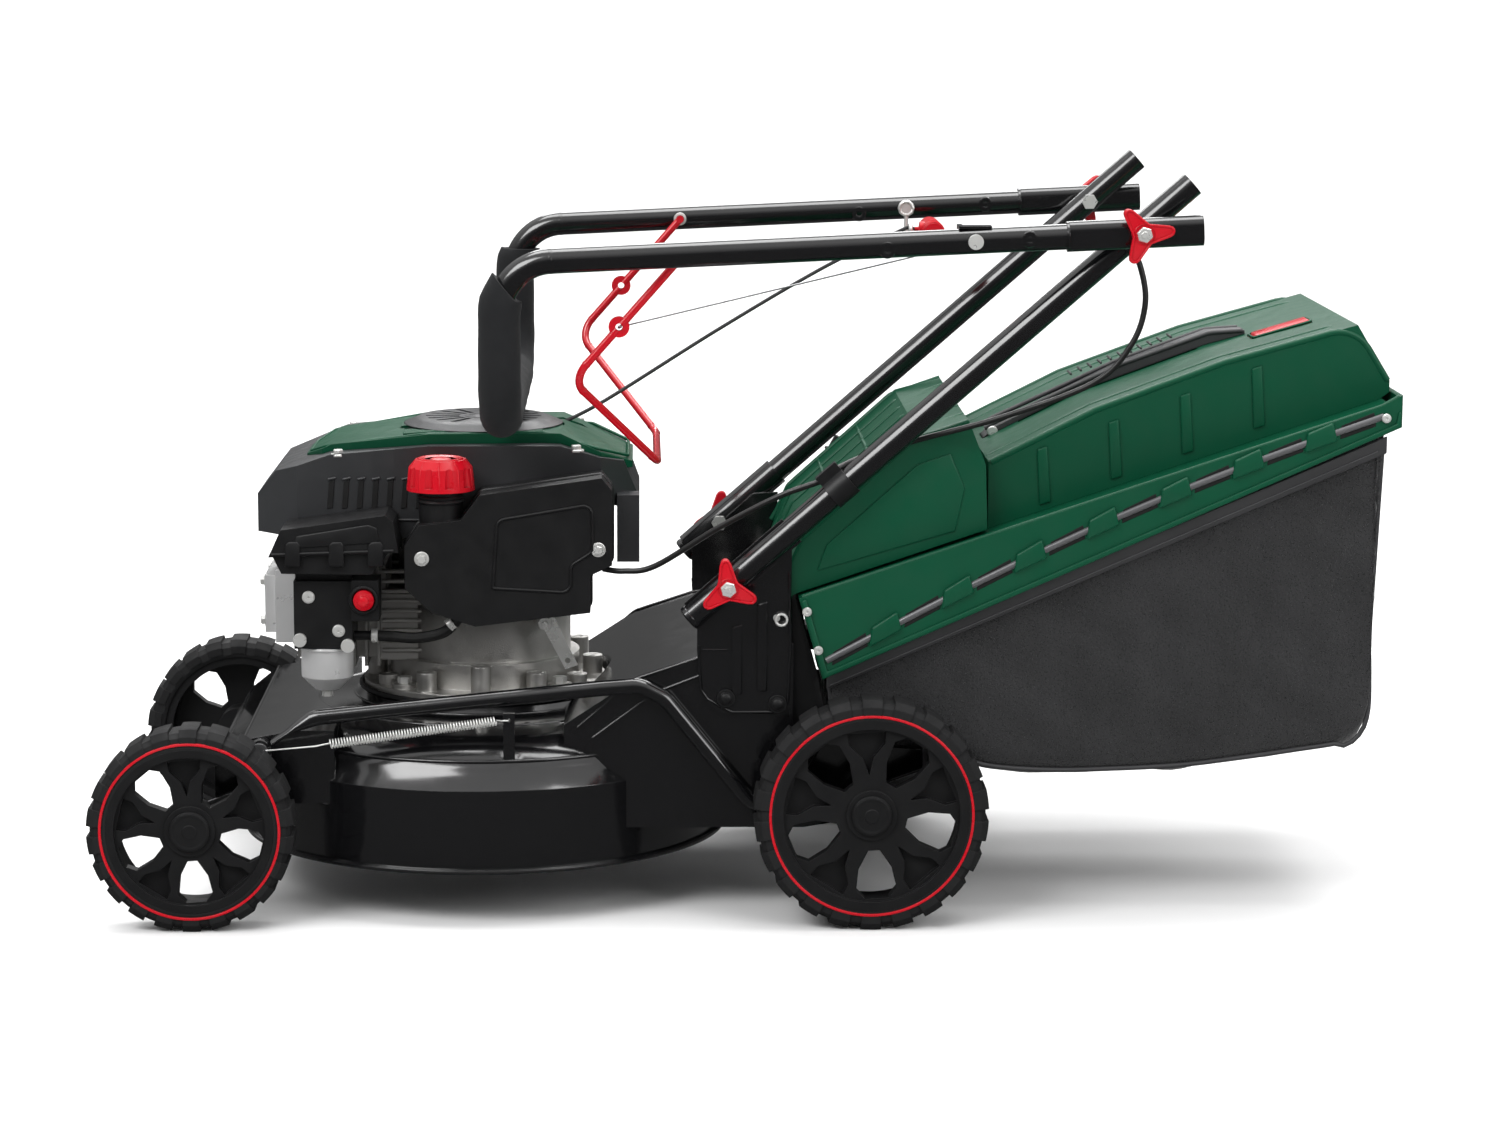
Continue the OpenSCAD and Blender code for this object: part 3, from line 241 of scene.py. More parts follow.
def plate(name, outline, y0, y1, finish, body, bevel=0.0008, segments=2):
    """An [x, z] outline in millimetres, extruded between two y planes, with rounded edges."""
    low, high = sorted((y0, y1))
    bm = bmesh.new()
    ring = [bm.verts.new(at(x, low, z)) for x, z in outline]
    face = bm.faces.new(ring)
    top = bmesh.ops.extrude_face_region(bm, geom=[face])
    moved = [v for v in top["geom"] if isinstance(v, bmesh.types.BMVert)]
    bmesh.ops.translate(bm, verts=moved, vec=(0, (high - low) / 1000, 0))
    bmesh.ops.recalc_face_normals(bm, faces=bm.faces)
    bmesh.ops.bevel(bm, geom=bm.edges[:], offset=bevel, segments=segments, affect="EDGES",
                    profile=0.5, clamp_overlap=True)
    bmesh.ops.recalc_face_normals(bm, faces=bm.faces)
    mesh = bpy.data.meshes.new(name)
    bm.to_mesh(mesh)
    bm.free()
    return place(name, mesh, finish, body, HARD_ANGLE)


def lathe(name, profile, centre, axis, finish, body, steps=48, bore=False):
    """A turned piece: profile is (radius, height) in millimetres along axis from centre."""
    w = Vector(axis).normalized()
    u = w.orthogonal().normalized()
    v = w.cross(u)
    verts, faces = [], []
    n = len(profile)
    for k in range(steps):
        d = u * math.cos(math.tau * k / steps) + v * math.sin(math.tau * k / steps)
        verts += [centre + d * (r / 1000) + w * (h / 1000) for r, h in profile]
    for k in range(steps):
        q = (k + 1) % steps
        last = n if bore else n - 1
        for i in range(last):
            j = (i + 1) % n
            faces.append((k * n + i, q * n + i, q * n + j, k * n + j))
    if not bore:
        for i, flip in ((0, False), (n - 1, True)):
            if profile[i][0] > 1e-6:
                ring = [k * n + i for k in range(steps)]
                faces.append(tuple(ring[::-1] if flip else ring))
    piece = add(name, verts, faces, finish, body)
    remesh(piece.data, weld=1e-6)
    piece.data.set_sharp_from_angle(angle=HARD_ANGLE)
    return piece


# ---- Materials ----


def surface(name, colour, rough, metal=0.0, coat=0.0, grain=0, depth=0.0, mottle=0.15,
            wear=0.08, edge=None, spec=0.5, sheen=0.0, coat_rough=0.08):
    """A moulded, cast or painted finish: grain is its bump's scale, mottle its colour change."""
    if name in bpy.data.materials:
        return bpy.data.materials[name]
    m = bpy.data.materials.new(name)
    m.use_nodes = True
    nodes, links = m.node_tree.nodes, m.node_tree.links
    shader = nodes["Principled BSDF"]
    coords = nodes.new("ShaderNodeTexCoord")

    def noise_node(scale, detail=3.0):
        n = nodes.new("ShaderNodeTexNoise")
        n.inputs["Scale"].default_value = scale
        n.inputs["Detail"].default_value = detail
        links.new(coords.outputs["Object"], n.inputs["Vector"])
        return n

    cloud = noise_node(14, 5)
    mix = nodes.new("ShaderNodeMix")
    mix.data_type = "RGBA"
    mix.inputs["A"].default_value = (*[c * (1 - mottle) for c in colour], 1)
    mix.inputs["B"].default_value = (*[min(1, c * (1 + mottle)) for c in colour], 1)
    links.new(cloud.outputs["Fac"], mix.inputs["Factor"])
    links.new(mix.outputs["Result"], shader.inputs["Base Color"])
    smear = noise_node(55, 6)
    span = nodes.new("ShaderNodeMapRange")
    span.inputs["From Min"].default_value = 0.3
    span.inputs["From Max"].default_value = 0.7
    span.inputs["To Min"].default_value = max(0.02, rough - wear)
    span.inputs["To Max"].default_value = min(1, rough + wear)
    links.new(smear.outputs["Fac"], span.inputs["Value"])
    links.new(span.outputs["Result"], shader.inputs["Roughness"])
    shader.inputs["Metallic"].default_value = metal
    shader.inputs["Coat Weight"].default_value = coat
    shader.inputs["Coat Roughness"].default_value = coat_rough
    shader.inputs["Specular IOR Level"].default_value = spec
    shader.inputs["Sheen Weight"].default_value = sheen
    normal = None
    if edge:
        bevel = nodes.new("ShaderNodeBevel")
        bevel.samples = 4
        bevel.inputs["Radius"].default_value = edge
        normal = bevel.outputs["Normal"]
    if grain:
        fine = noise_node(grain, 2)
        bump = nodes.new("ShaderNodeBump")
        bump.inputs["Strength"].default_value = 1.0
        bump.inputs["Distance"].default_value = depth
        links.new(fine.outputs["Fac"], bump.inputs["Height"])
        if normal:
            links.new(normal, bump.inputs["Normal"])
        normal = bump.outputs["Normal"]
    if normal:
        links.new(normal, shader.inputs["Normal"])
        links.new(normal, shader.inputs["Coat Normal"])
    return m


def finishes():
    """Every finish by name."""
    c = bpy.context.scene.mower_colours
    e = bpy.context.scene.mower_sizes.edge
    return {
        "enamel": surface("Gloss enamel", c.enamel, 0.16, coat=0.7, grain=900, depth=0.00002,
                          mottle=0.2, wear=0.05, edge=e),
        "green": surface("Green moulding", c.green, 0.36, grain=2600, depth=0.00004,
                         mottle=0.07, wear=0.05, edge=e, spec=0.28),
        "red": surface("Red moulding", c.red, 0.3, grain=2200, depth=0.00002, mottle=0.1,
                       edge=e, spec=0.3),
        "red_paint": surface("Red enamel", c.red, 0.22, coat=0.5, grain=900, depth=0.00002,
                             mottle=0.1, edge=0.0004),
        "shroud": surface("Shroud moulding", c.shroud, 0.4, grain=3000, depth=0.00007,
                          mottle=0.1, edge=e),
        "black": surface("Black moulding", c.black, 0.42, grain=2800, depth=0.00006,
                         mottle=0.15, edge=e, spec=0.35),
        "rim": surface("Rim moulding", c.black, 0.5, grain=2200, depth=0.00006, edge=e,
                       spec=0.28),
        "tyre": surface("Tyre", c.rubber, 0.72, grain=1500, depth=0.00012, mottle=0.25,
                        wear=0.12, edge=0.0012, spec=0.3),
        "alloy": surface("Cast alloy", c.alloy, 0.42, metal=1.0, grain=900, depth=0.00025,
                         mottle=0.12, wear=0.14, edge=0.0014),
        "silver": surface("Pressed silver", (0.72, 0.72, 0.72), 0.34, metal=0.55, grain=700,
                          depth=0.00006, edge=0.0012),
        "zinc": surface("Zinc plate", (0.72, 0.72, 0.7), 0.3, metal=0.6, grain=1600,
                        depth=0.00003, mottle=0.15, edge=0.0005),
        "steel": surface("Turned steel", (0.42, 0.42, 0.43), 0.34, metal=1.0, grain=1200,
                         depth=0.00004, edge=0.0006),
        "iron": surface("Iron casting", (0.11, 0.105, 0.1), 0.62, metal=0.7, grain=900,
                        depth=0.0002, mottle=0.3, edge=0.001),
        "cable": surface("Cable jacket", (0.008, 0.008, 0.008), 0.38, grain=3000,
                         depth=0.00002),
        "foam": surface("Grip foam", (0.011, 0.0115, 0.0125), 0.86, grain=2400, depth=0.0003,
                        mottle=0.3, sheen=0.04, spec=0.2),
        "rope": surface("Starter rope", (0.02, 0.02, 0.021), 0.8, grain=1800, depth=0.0004),
        "grey": surface("Grey rod", (0.12, 0.12, 0.125), 0.36, metal=0.4, grain=1500,
                        depth=0.00003),
        "ceramic": surface("Glazed ceramic", (0.75, 0.74, 0.7), 0.15, coat=0.5, edge=0.0006),
        "strap": surface("Carry handle", (0.03, 0.03, 0.032), 0.5, grain=2600, depth=0.00006,
                         mottle=0.15, edge=0.0015),
        # seat is painted shade: a near-black finish for sheets that stand in for the shade inside the lid's
        # windows and the shroud's louvre slots
        "seat": surface("Painted gap shade", (0.003, 0.003, 0.003), 0.8, grain=800, depth=0.0001),
    }


# The frame's nodes in each finish; rims, tyres and knobs go by the first word of their names
FINISH_NODES = {
    "enamel": "deck rear_housing handle_brackets lower_tubes height_link upper_handle",
    "black": "black_fittings fuel_tank air_filter carburettor dipstick lever_grip",
    "zinc": "zinc_fasteners height_spring governor_lever height_lever handle_fittings",
    "green": "lid_crown shroud_trim discharge_flap bag_lid",
    "cable": "brake_cable_lower fuel_hose brake_cable_upper",
    "alloy": "crankcase",
    "silver": "valve_cover float_bowl starter_pulley",
    "shroud": "shroud recoil_cover",
    "iron": "muffler flywheel blade_adapter",
    "ceramic": "spark_plug",
    "rope": "starter_rope",
    "steel": "crankshaft blade front_axle rear_axle brake_wire",
    "red": "fuel_cap primer_bulb starter_grip fill_indicator",
    "foam": "foam_grip bag_fabric",
    "red_paint": "bail",
    "strap": "bag_handle",
}
NODE_FINISH = {node: key for key, nodes in FINISH_NODES.items() for node in nodes.split()}


def smoother():
    """Geometry nodes that shade a CAD node smooth except over its hard edges."""
    group = bpy.data.node_groups.get("Smooth Shading")
    if group:
        return group
    group = bpy.data.node_groups.new("Smooth Shading", "GeometryNodeTree")
    group.interface.new_socket("Geometry", in_out="INPUT", socket_type="NodeSocketGeometry")
    group.interface.new_socket("Geometry", in_out="OUTPUT", socket_type="NodeSocketGeometry")
    n, link = group.nodes, group.links
    start, end = n.new("NodeGroupInput"), n.new("NodeGroupOutput")
    weld = n.new("GeometryNodeMergeByDistance")
    weld.inputs["Distance"].default_value = 2e-6
    faces, edges = n.new("GeometryNodeSetShadeSmooth"), n.new("GeometryNodeSetShadeSmooth")
    edges.domain = "EDGE"
    angle = n.new("GeometryNodeInputMeshEdgeAngle")
    small = n.new("FunctionNodeCompare")
    small.operation = "LESS_THAN"
    small.inputs["B"].default_value = 0.45
    link.new(start.outputs["Geometry"], weld.inputs["Geometry"])
    link.new(weld.outputs["Geometry"], faces.inputs["Geometry"])
    link.new(faces.outputs["Geometry"], edges.inputs["Geometry"])
    link.new(angle.outputs["Unsigned Angle"], small.inputs["A"])
    link.new(small.outputs["Result"], edges.inputs["Shade Smooth"])
    link.new(edges.outputs["Geometry"], end.inputs["Geometry"])
    return group


def dress_frame():
    """Gives each of the frame's own nodes its finish."""
    finish = finishes()
    for name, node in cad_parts.items():
        kind = name.split("_")[0]
        key = {"rim": "rim", "tyre": "tyre", "knob": "red"}.get(kind) or NODE_FINISH[name]
        node.data.materials.clear()
        node.data.materials.append(finish[key])
        m = node.modifiers.new("Smooth Shading", "NODES")
        m.node_group = smoother()


# ---- Stage ----


# Metres: the floor's front edge, where its cove starts, the cove's radius, height and half width
FLOOR_FRONT, COVE_START, COVE_R, COVE_TOP, FLOOR_HALF = -6.0, 2.6, 1.6, 7.0, 9
COVE_FIRST, COVE_STEPS = 0.08, 15
LIGHTS = [("key", (-2.2, -2.6, 3.2), (2.4, 1.6), 95), ("fill", (2.6, -2.8, 2.0), (1.8, 1.8), 45),
          ("top", (0.1, 0.2, 3.4), (3.4, 1.4), 90), ("back", (0.4, 3.0, 2.6), (3.0, 1.0), 60)]
LIGHT_TARGET = Vector((0, 0, 0.3))
LENS, SENSOR = 92.22, 36
CAMERA = (-0.0914, -3.4586, 0.8522)
CAMERA_RIGHT = (0.99959, -0.02841, 0.00415)
CAMERA_UP = (0.0005, 0.16184, 0.98682)
CAMERA_BACK = (-0.0287, -0.98641, 0.16179)


def build_stage():
    """A pale floor that curves up into a backdrop, a soft sky, four lights and the camera."""
    scene = bpy.context.scene
    verts, faces = [], []
    profile = [(FLOOR_FRONT, 0.0), (COVE_START, 0.0)]
    for k in range(COVE_STEPS + 1):
        a = COVE_FIRST + (math.pi / 2 - COVE_FIRST) * k / COVE_STEPS
        profile.append((COVE_START + COVE_R * math.sin(a), COVE_R - COVE_R * math.cos(a)))
    profile.append((COVE_START + COVE_R, COVE_TOP))
    for y, z in profile:
        verts += [(-FLOOR_HALF, y, z), (FLOOR_HALF, y, z)]
    for i in range(len(profile) - 1):
        faces.append((2 * i, 2 * i + 1, 2 * i + 3, 2 * i + 2))
    paper = surface("Studio paper", (0.88, 0.88, 0.88), 0.8, mottle=0.01, spec=0.2)
    floor = add("studio_floor", verts, faces, paper, None)
    floor.visible_glossy = False
    world = bpy.data.worlds.new("Studio")
    scene.world = world
    world.use_nodes = True
    nodes, links = world.node_tree.nodes, world.node_tree.links
    coords, split = nodes.new("ShaderNodeTexCoord"), nodes.new("ShaderNodeSeparateXYZ")
    lift = nodes.new("ShaderNodeMapRange")
    lift.inputs["From Min"].default_value = 0.15
    lift.inputs["From Max"].default_value = 0.75
    lift.inputs["To Min"].default_value = 0.1
    lift.inputs["To Max"].default_value = 1.05
    links.new(coords.outputs["Generated"], split.inputs["Vector"])
    links.new(split.outputs["Z"], lift.inputs["Value"])
    links.new(lift.outputs["Result"], nodes["Background"].inputs["Strength"])
    nodes["Background"].inputs["Color"].default_value = (1, 1, 1, 1)
    for name, spot, size, power in LIGHTS:
        light = bpy.data.lights.new(name, "AREA")
        light.shape = "RECTANGLE"
        light.size, light.size_y = size
        light.energy = power
        lamp = bpy.data.objects.new(name, light)
        lamp.location = spot
        aim = LIGHT_TARGET - Vector(spot)
        lamp.rotation_euler = aim.to_track_quat("-Z", "Y").to_euler()
        scene.collection.objects.link(lamp)
    lens = bpy.data.cameras.new("camera")
    lens.sensor_width = SENSOR
    lens.lens = LENS
    camera = bpy.data.objects.new("camera", lens)
    turn = Matrix((CAMERA_RIGHT, CAMERA_UP, CAMERA_BACK)).transposed().to_4x4()
    camera.matrix_world = Matrix.Translation(CAMERA) @ turn
    scene.collection.objects.link(camera)
    scene.camera = camera
    scene.view_settings.view_transform = "Standard"


# ---- Wheels ----

# Name, place along X, radius and side of each wheel, and how far out its face is
WHEELS = [("%s_%s" % (end, word), x, r, side)
          for end, x, r in (("front", 0, 89), ("rear", REAR, 101.5)) for side, word in SIDES]
WHEEL_FACE = 234.5
RING_SHARE = 0.862


def build_wheels():
    """A coloured ring on each tyre, and the hub cap's stepped face."""
    r_ring = bpy.context.scene.mower_sizes.ring * 1000
    for name, x, z, side in WHEELS:
        body = "wheel_" + name
        face = at(x, side * WHEEL_FACE, z)
        out = (0, side, 0)
        r = RING_SHARE * z
        lathe("ring_" + name, [(r - r_ring - 0.2, -2.6), (r - r_ring, -0.6), (r, -0.2),
                               (r + r_ring, -0.6), (r + r_ring + 0.2, -2.6)], face, out,
              "red", body, 96, bore=True)
        lathe("hub_cap_" + name, [(0, 0.4), (6, 0.4), (7, -0.6), (12, -0.4), (14, 0.3), (16, 0.2),
                                  (17.5, -1.2), (17.5, -4)], face, out, "rim", body, 48)
        lathe("bead_" + name, [(z - 19, -4.5), (z - 18.4, -1.8), (z - 16.6, -1.1),
                               (z - 14.4, -1.5), (z - 13.8, -3.5)], face, out, "tyre",
              body, 96, bore=True)


# ---- Handles ----

# The fold pivot, the folded tube's direction, its bend, the crossbar's height and the tubes' Y
PIVOT = (811.6, 602.3)
FOLD = (-0.99881, -0.04885)
CORNER = (267.3, 575.7)
GRIP_Z = 439.7
TUBE_Y = 212
FOAM_TOP = 0.557


def handle_path(start):
    """The upper handle's centreline, from that far along one tube to the other."""
    x, z = PIVOT[0] + start * FOLD[0], PIVOT[1] + start * FOLD[1]
    points = [at(x, -TUBE_Y, z), at(CORNER[0], -TUBE_Y, CORNER[1]), at(CORNER[0], -TUBE_Y, GRIP_Z),
              at(CORNER[0], TUBE_Y, GRIP_Z), at(CORNER[0], TUBE_Y, CORNER[1]), at(x, TUBE_Y, z)]
    return rounded(points, 0.046, 12)


def build_foam():
    """Foam over the drop and the crossbar, cut at a slant at both ends."""
    r = bpy.context.scene.mower_sizes.foam
    path = handle_path(300)
    low = [i for i, p in enumerate(path) if p.z < FOAM_TOP]
    path = fine(path[low[0]:low[-1] + 1], 0.008)
    m = len(path)
    n = 28
    rings = []
    for i in range(m):
        end = min(i, m - 1 - i)
        q = r * (0.9 + 0.1 * min(1, end / 2)) * (1 + 0.02 * math.sin(i * 0.9) * math.sin(i * 0.37))
        rings.append(circle(q, n))
    verts, faces = sweep(path, rings)
    for ring, along in ((0, path[1] - path[0]), (m - 1, path[-1] - path[-2])):
        for k in range(n):
            v = verts[ring * n + k]
            v += along.normalized() * (v.x - path[ring].x) * 0.5
    piece = add("grip_foam", verts, faces, finishes()["foam"], "upper_handle", angle=1.0)
    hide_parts("foam_grip")


def star(reach, waist, tip, turn):
    """Outline of a three-armed knob as (x, z) millimetres from its middle."""
    out = []
    for k in range(3):
        a = math.radians(turn + 120 * k)
        u, w = (math.cos(a), math.sin(a)), (-math.sin(a), math.cos(a))
        for s in (-60, -30, 0, 30, 60):
            b = math.radians(s * 1.4)
            dx, dy = reach - tip + tip * math.cos(b), tip * math.sin(b)
            out.append((u[0] * dx + w[0] * dy, u[1] * dx + w[1] * dy))
        c = math.radians(turn + 120 * k + 60)
        out.append((waist * math.cos(c), waist * math.sin(c)))
    return out


CLAMP = (462.3, 295.4)
# Name, bolt's place, Y of its seat, side and turn in degrees of each knob
KNOBS = [("lower_left", *CLAMP, -197, -1, 97), ("lower_right", *CLAMP, 197, 1, 83),
         ("upper_left", *PIVOT, -220.5, -1, 128), ("upper_right", *PIVOT, 220.5, 1, 52)]


def build_knobs():
    """Three-armed knobs with a raised rim round a sunk face, on hexagon nuts."""
    for name, x, z, y, side, turn in KNOBS:
        body = "knob_" + name
        outer = [(x + a, z + b) for a, b in star(26.5, 9.5, 4.2, turn)]
        wing = plate("knob_wing_" + name, outer, y + side * 2, y + side * 10, "red", body,
                     0.0012, 3)
        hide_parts(body)
        rim = []
        for a, b in outer:
            p = Vector((a - x, 0, b - z)) * 0.94
            rim.append(at(x + p.x, y + side * 10.2, z + p.z))
        rim.append(rim[0].copy())
        tube("knob_rim_" + name, rim, 0.0011, "red", body, 8)
        middle = at(x, y, z)
        lathe("knob_boss_" + name, [(0, 0), (10, 0), (10, 8), (9.4, 10), (8.6, 10.6), (8, 9.2),
                                    (0, 9.2)], middle, (0, side, 0), "red", body, 32)
        lathe("knob_nut_" + name, [(0, 9), (6.9, 9), (6.9, 13), (6.1, 13.8), (3.4, 13.8),
                                   (3.2, 14.6), (0, 14.9)], middle, (0, side, 0), "zinc",
              body, 6)


# ---- Cables ----

# Routes chosen along the CAD's cords
BRAKE_CABLE = [(354, -132, 301), (372, -138, 300), (400, -146, 306), (455, -166, 343),
               (505, -182, 372), (543, -186, 387), (556, -186, 397), (575, -172, 404),
               (600, -171, 412), (626, -176, 421), (697, -188, 442), (774, -200, 473),
               (806, -203, 507), (817, -202, 542), (812, -200, 574), (803, -200, 586),
               (798, -199.5, 592), (780, -198.5, 592.5), (750, -198.4, 591),
               (720, -197, 590.5), (690, -195.5, 590.3), (662, -195, 590)]
ROPE = [(311, 36, 407), (355, 50, 428), (460, 88, 490), (560, 114, 546), (636.8, 140, 580)]
ROPE_R = 0.0017
GUIDE = (639.8, 593.9)
SPRING_Y = -195.5
SPRING_R = 0.0037
COIL_STEPS = 10


def build_cables():
    """Brake cable, starter rope, bail wire and the height spring."""
    cable = tube("brake_cable", spline([at(*p) for p in BRAKE_CABLE], 8), 0.0026,
                 "cable", None, 12)
    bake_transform(cable)
    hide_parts("brake_cable_lower", "brake_cable_upper")
    rope = tube("starter_cord", spline([at(*p) for p in ROPE], 14), ROPE_R, "rope", None, 10)
    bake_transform(rope)
    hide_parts("starter_rope")
    a, b = at(*ROPE[-1]), at(GUIDE[0] + 6, 140, GUIDE[1] - 15.5)
    tail = tube("starter_cord_tail", stations(a, b, 60), ROPE_R, "rope", None, 10)
    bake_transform(tail)
    wire_a, wire_b = at(655.2, -197, 589.6), at(374.6, -191.1, 521.3)
    wire = tube("bail_wire", stations(wire_a, wire_b, 40), 0.0008, "steel", None, 8)
    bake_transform(wire)
    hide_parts("brake_wire")
    bends = [(0, 0, 0), (-4, 0.2, 0), (-6, -1.4, -1), (-6, -5, -1), (-6, -8.6, -1), (-4, -10, 0)]
    hook = [wire_b + Vector(q) / 1000 for q in bends]
    tube("bail_wire_hook", spline(hook, 5), 0.0011, "steel", "bail", 8)
    sizes = bpy.context.scene.mower_sizes
    front, rear = at(118, SPRING_Y, 158), at(262, SPRING_Y, 178)
    along = (rear - front).normalized()
    side = Vector((0, 1, 0))
    up = along.cross(side)
    path = [at(60, -187.5, 149.5), at(64, -189, 151), at(106, SPRING_Y, 156)]
    for k, middle in enumerate(stations(front, rear, sizes.spring_coils * COIL_STEPS)):
        a = math.tau * k / COIL_STEPS
        path.append(middle + (side * math.cos(a) + up * math.sin(a)) * SPRING_R)
    path += [at(267, -197.5, 178.6), at(272, -199, 179), at(273, -196, 179), at(273, -192, 179)]
    spring = tube("height_spring_coil", path, sizes.spring_wire, "zinc", None, 6)
    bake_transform(spring)
    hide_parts("height_spring")


LINK = [(88.4, 170.5), (104.4, 178.5), (352, 204), (386, 206.5), (408, 195), (470, 118),
        (484, 101), (508, 101), (548, 172), (604.4, 164)]
LINK_Y = -181
LINK_FRONT, LINK_REAR = (56.4, 149.5), (642.4, 162)
# Metres: the rod's half thickness and half height where it is flat, and its radius where it is round
FLAT_SIDE, FLAT_UP, ROUND = 0.0026, 0.0088, 0.007


def build_link():
    """The bent rod that ties both axles, pressed flat at its eyes."""
    path = fine(rounded([at(x, LINK_Y, z) for x, z in LINK], 0.024, 8), 0.006)
    front, rear = (at(x, LINK_Y, z) for x, z in (LINK_FRONT, LINK_REAR))
    path = stations(front, path[0], 6)[:-1] + path + stations(path[-1], rear, 6)[1:]
    rings = []
    for p in path:
        d = min((p - front).length, (p - rear).length)
        share = min(1, max(0, (d - 0.026) / 0.03))
        share = share * share * (3 - 2 * share)
        a, b = FLAT_SIDE + (ROUND - FLAT_SIDE) * share, FLAT_UP - (FLAT_UP - ROUND) * share
        rings.append([(a * c, b * s) for c, s in circle(1, 20)])
    verts, faces = sweep(path[2:-2], rings[2:-2])
    piece = add("height_rod", verts, faces, "enamel", "height_link", angle=1.0)
    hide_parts("height_link")
    eye = [(4.1, -2.5), (9, -2.5), (10, -1.6), (10, 1.6), (9, 2.5), (4.1, 2.5)]
    for name, p in (("front", front), ("rear", rear)):
        lathe("height_rod_eye_" + name, eye, p, (0, -1, 0), "enamel", "height_link", 32, bore=True)


# ---- Grass bag ----

BAG_PROFILE = [(551, 211), (554, 178), (560, 150), (576, 141), (620, 139), (660, 137), (692, 127),
               (746, 123), (800, 124), (860, 127), (910, 133), (965, 141), (1005, 148), (1020, 160),
               (1026, 180), (1026, 214), (1025, 245), (1027, 300), (1029, 350), (1031, 400),
               (1032, 426)]


RIM_FRONT, RIM_REAR, RIM_LOW, RIM_RISE = 545, 1034, 212, 0.4429
MOUTH_X, BAG_REAR = 551, 1032
CLOTH_HALF, CLOTH_CORNER, CLOTH_LIMIT = 167.5, 20, 171.5
HEM_FRONT = 549
CLOTH_WIDTH = 0.62


def rim_z(x):
    """Height of the lid's lower edge."""
    return RIM_LOW + RIM_RISE * (x - RIM_FRONT)


def even(points, count):
    """That many points, evenly spaced along a line of points."""
    lengths = [0]
    for a, b in zip(points, points[1:]):
        lengths.append(lengths[-1] + (b - a).length)
    out, i = [], 0
    for k in range(count):
        d = lengths[-1] * k / (count - 1)
        while i < len(points) - 2 and lengths[i + 1] < d:
            i += 1
        span = max(1e-9, lengths[i + 1] - lengths[i])
        out.append(points[i].lerp(points[i + 1], min(1, (d - lengths[i]) / span)))
    return out


def build_bag():
    """The mesh cloth hangs from the lid's rim, slack and creased, with a bound hem."""
    cloth = mesh_cloth()
    low = even(spline([Vector((x, 0, z)) for x, z in BAG_PROFILE], 6), 96)
    m = len(low)
    wall, corner, floor = 22, 6, 34
    half, r = CLOTH_HALF, CLOTH_CORNER
    verts, faces = [], []
    for i, q in enumerate(low):
        share = i / (m - 1)
        x_top = min(BAG_REAR, max(MOUTH_X, q.x))
        top = Vector((x_top, 0, rim_z(x_top) + 6))
        drop = top - q
        length = max(drop.length, 1e-3)
        turn = min(r, length * 0.49)
        section = [(-half, length - (length - turn) * k / wall) for k in range(wall)]
        section += [(-half + turn * (1 - math.cos(a)), turn * (1 - math.sin(a)))
                    for a in [math.pi / 2 * k / corner for k in range(corner)]]
        section += [((-half + turn) * (1 - 2 * k / floor), 0) for k in range(floor + 1)]
        section += [(-y, h) for y, h in section[:wall + corner][::-1]]
        for y, h in section:
            p = q + drop * (h / length)
            slack = math.sin(math.pi * min(1, h / length)) * min(1, length / 150)
            rear = max(0.0, share - 0.45)
            fold = noise.noise(Vector((p.x * 0.035, p.z * 0.008 + y * 0.004, 3.1)))
            crease = noise.noise(Vector((p.x * 0.02 + p.z * 0.03, p.z * 0.012, y * 0.01 + 7)))
            push = slack * (1.5 + 4.5 * fold + (4 + 12 * rear) * crease)
            side = math.copysign(1, y) if abs(y) > half - r else y / half
            dy = push * side if abs(y) > half - r - 1 else 0
            dz = (2.6 * crease + 1.5 * fold - 1.0) if h < 1 and 0.04 < share < 0.9 else 0
            dx = 2.4 * crease * (1 - abs(y) / half) if share > 0.9 and h < 1 else 0
            verts.append(at(p.x + dx, max(-CLOTH_LIMIT, min(CLOTH_LIMIT, y + dy)), p.z + dz))
    n = wall * 2 + corner * 2 + floor + 1
    for i in range(m - 1):
        for k in range(n - 1):
            faces.append((i * n + k, (i + 1) * n + k, (i + 1) * n + k + 1, i * n + k + 1))
    mouth = [f for f in faces if all(
        abs(verts[v].y) < 0.15 and 0.157 < verts[v].z < 0.201 and verts[v].x < at(562, 0, 0).x
        for v in f)]
    faces = [f for f in faces if f not in mouth]
    piece = add("bag_cloth", verts, faces, cloth, "grass_bag", angle=3.2)
    remesh(piece.data, weld=2e-5)
    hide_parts("bag_fabric")
    area = sum(p.area for p in piece.data.polygons)
    thick = piece.modifiers.new("Thickness", "SOLIDIFY")
    thick.thickness = 0.0012
    thick.offset = -1
    hem = bpy.context.scene.mower_sizes.hem * 1000
    outline = [(HEM_FRONT, rim_z(HEM_FRONT) - hem - 2), (HEM_FRONT, rim_z(HEM_FRONT) + 2),
               (RIM_REAR, rim_z(RIM_REAR) - 5), (RIM_REAR, rim_z(RIM_REAR) - hem - 9)]
    piping = [q for q in low if q.z < rim_z(q.x) - 12]
    for side, word in SIDES:
        plate("bag_hem_" + word, outline, side * 168.5, side * 171.8, "strap",
                           "grass_bag", 0.001, 3)
        seam = [at(x, side * 171.9, rim_z(x) - hem + 0.5 - 4 * (x - HEM_FRONT) / 485)
                for x in range(552, 1032, 6)]
        tube("bag_stitch_" + word, seam, 0.0005, "grey", "grass_bag", 6)
        edge = [at(q.x, side * (half - 4), q.z + (4 if q.x < 1000 else 0)) for q in piping]
        tube("bag_piping_" + word, edge, 0.0022, "strap", "grass_bag", 8)
    width, length = CLOTH_WIDTH, max(0.9, area / CLOTH_WIDTH * 1.05)


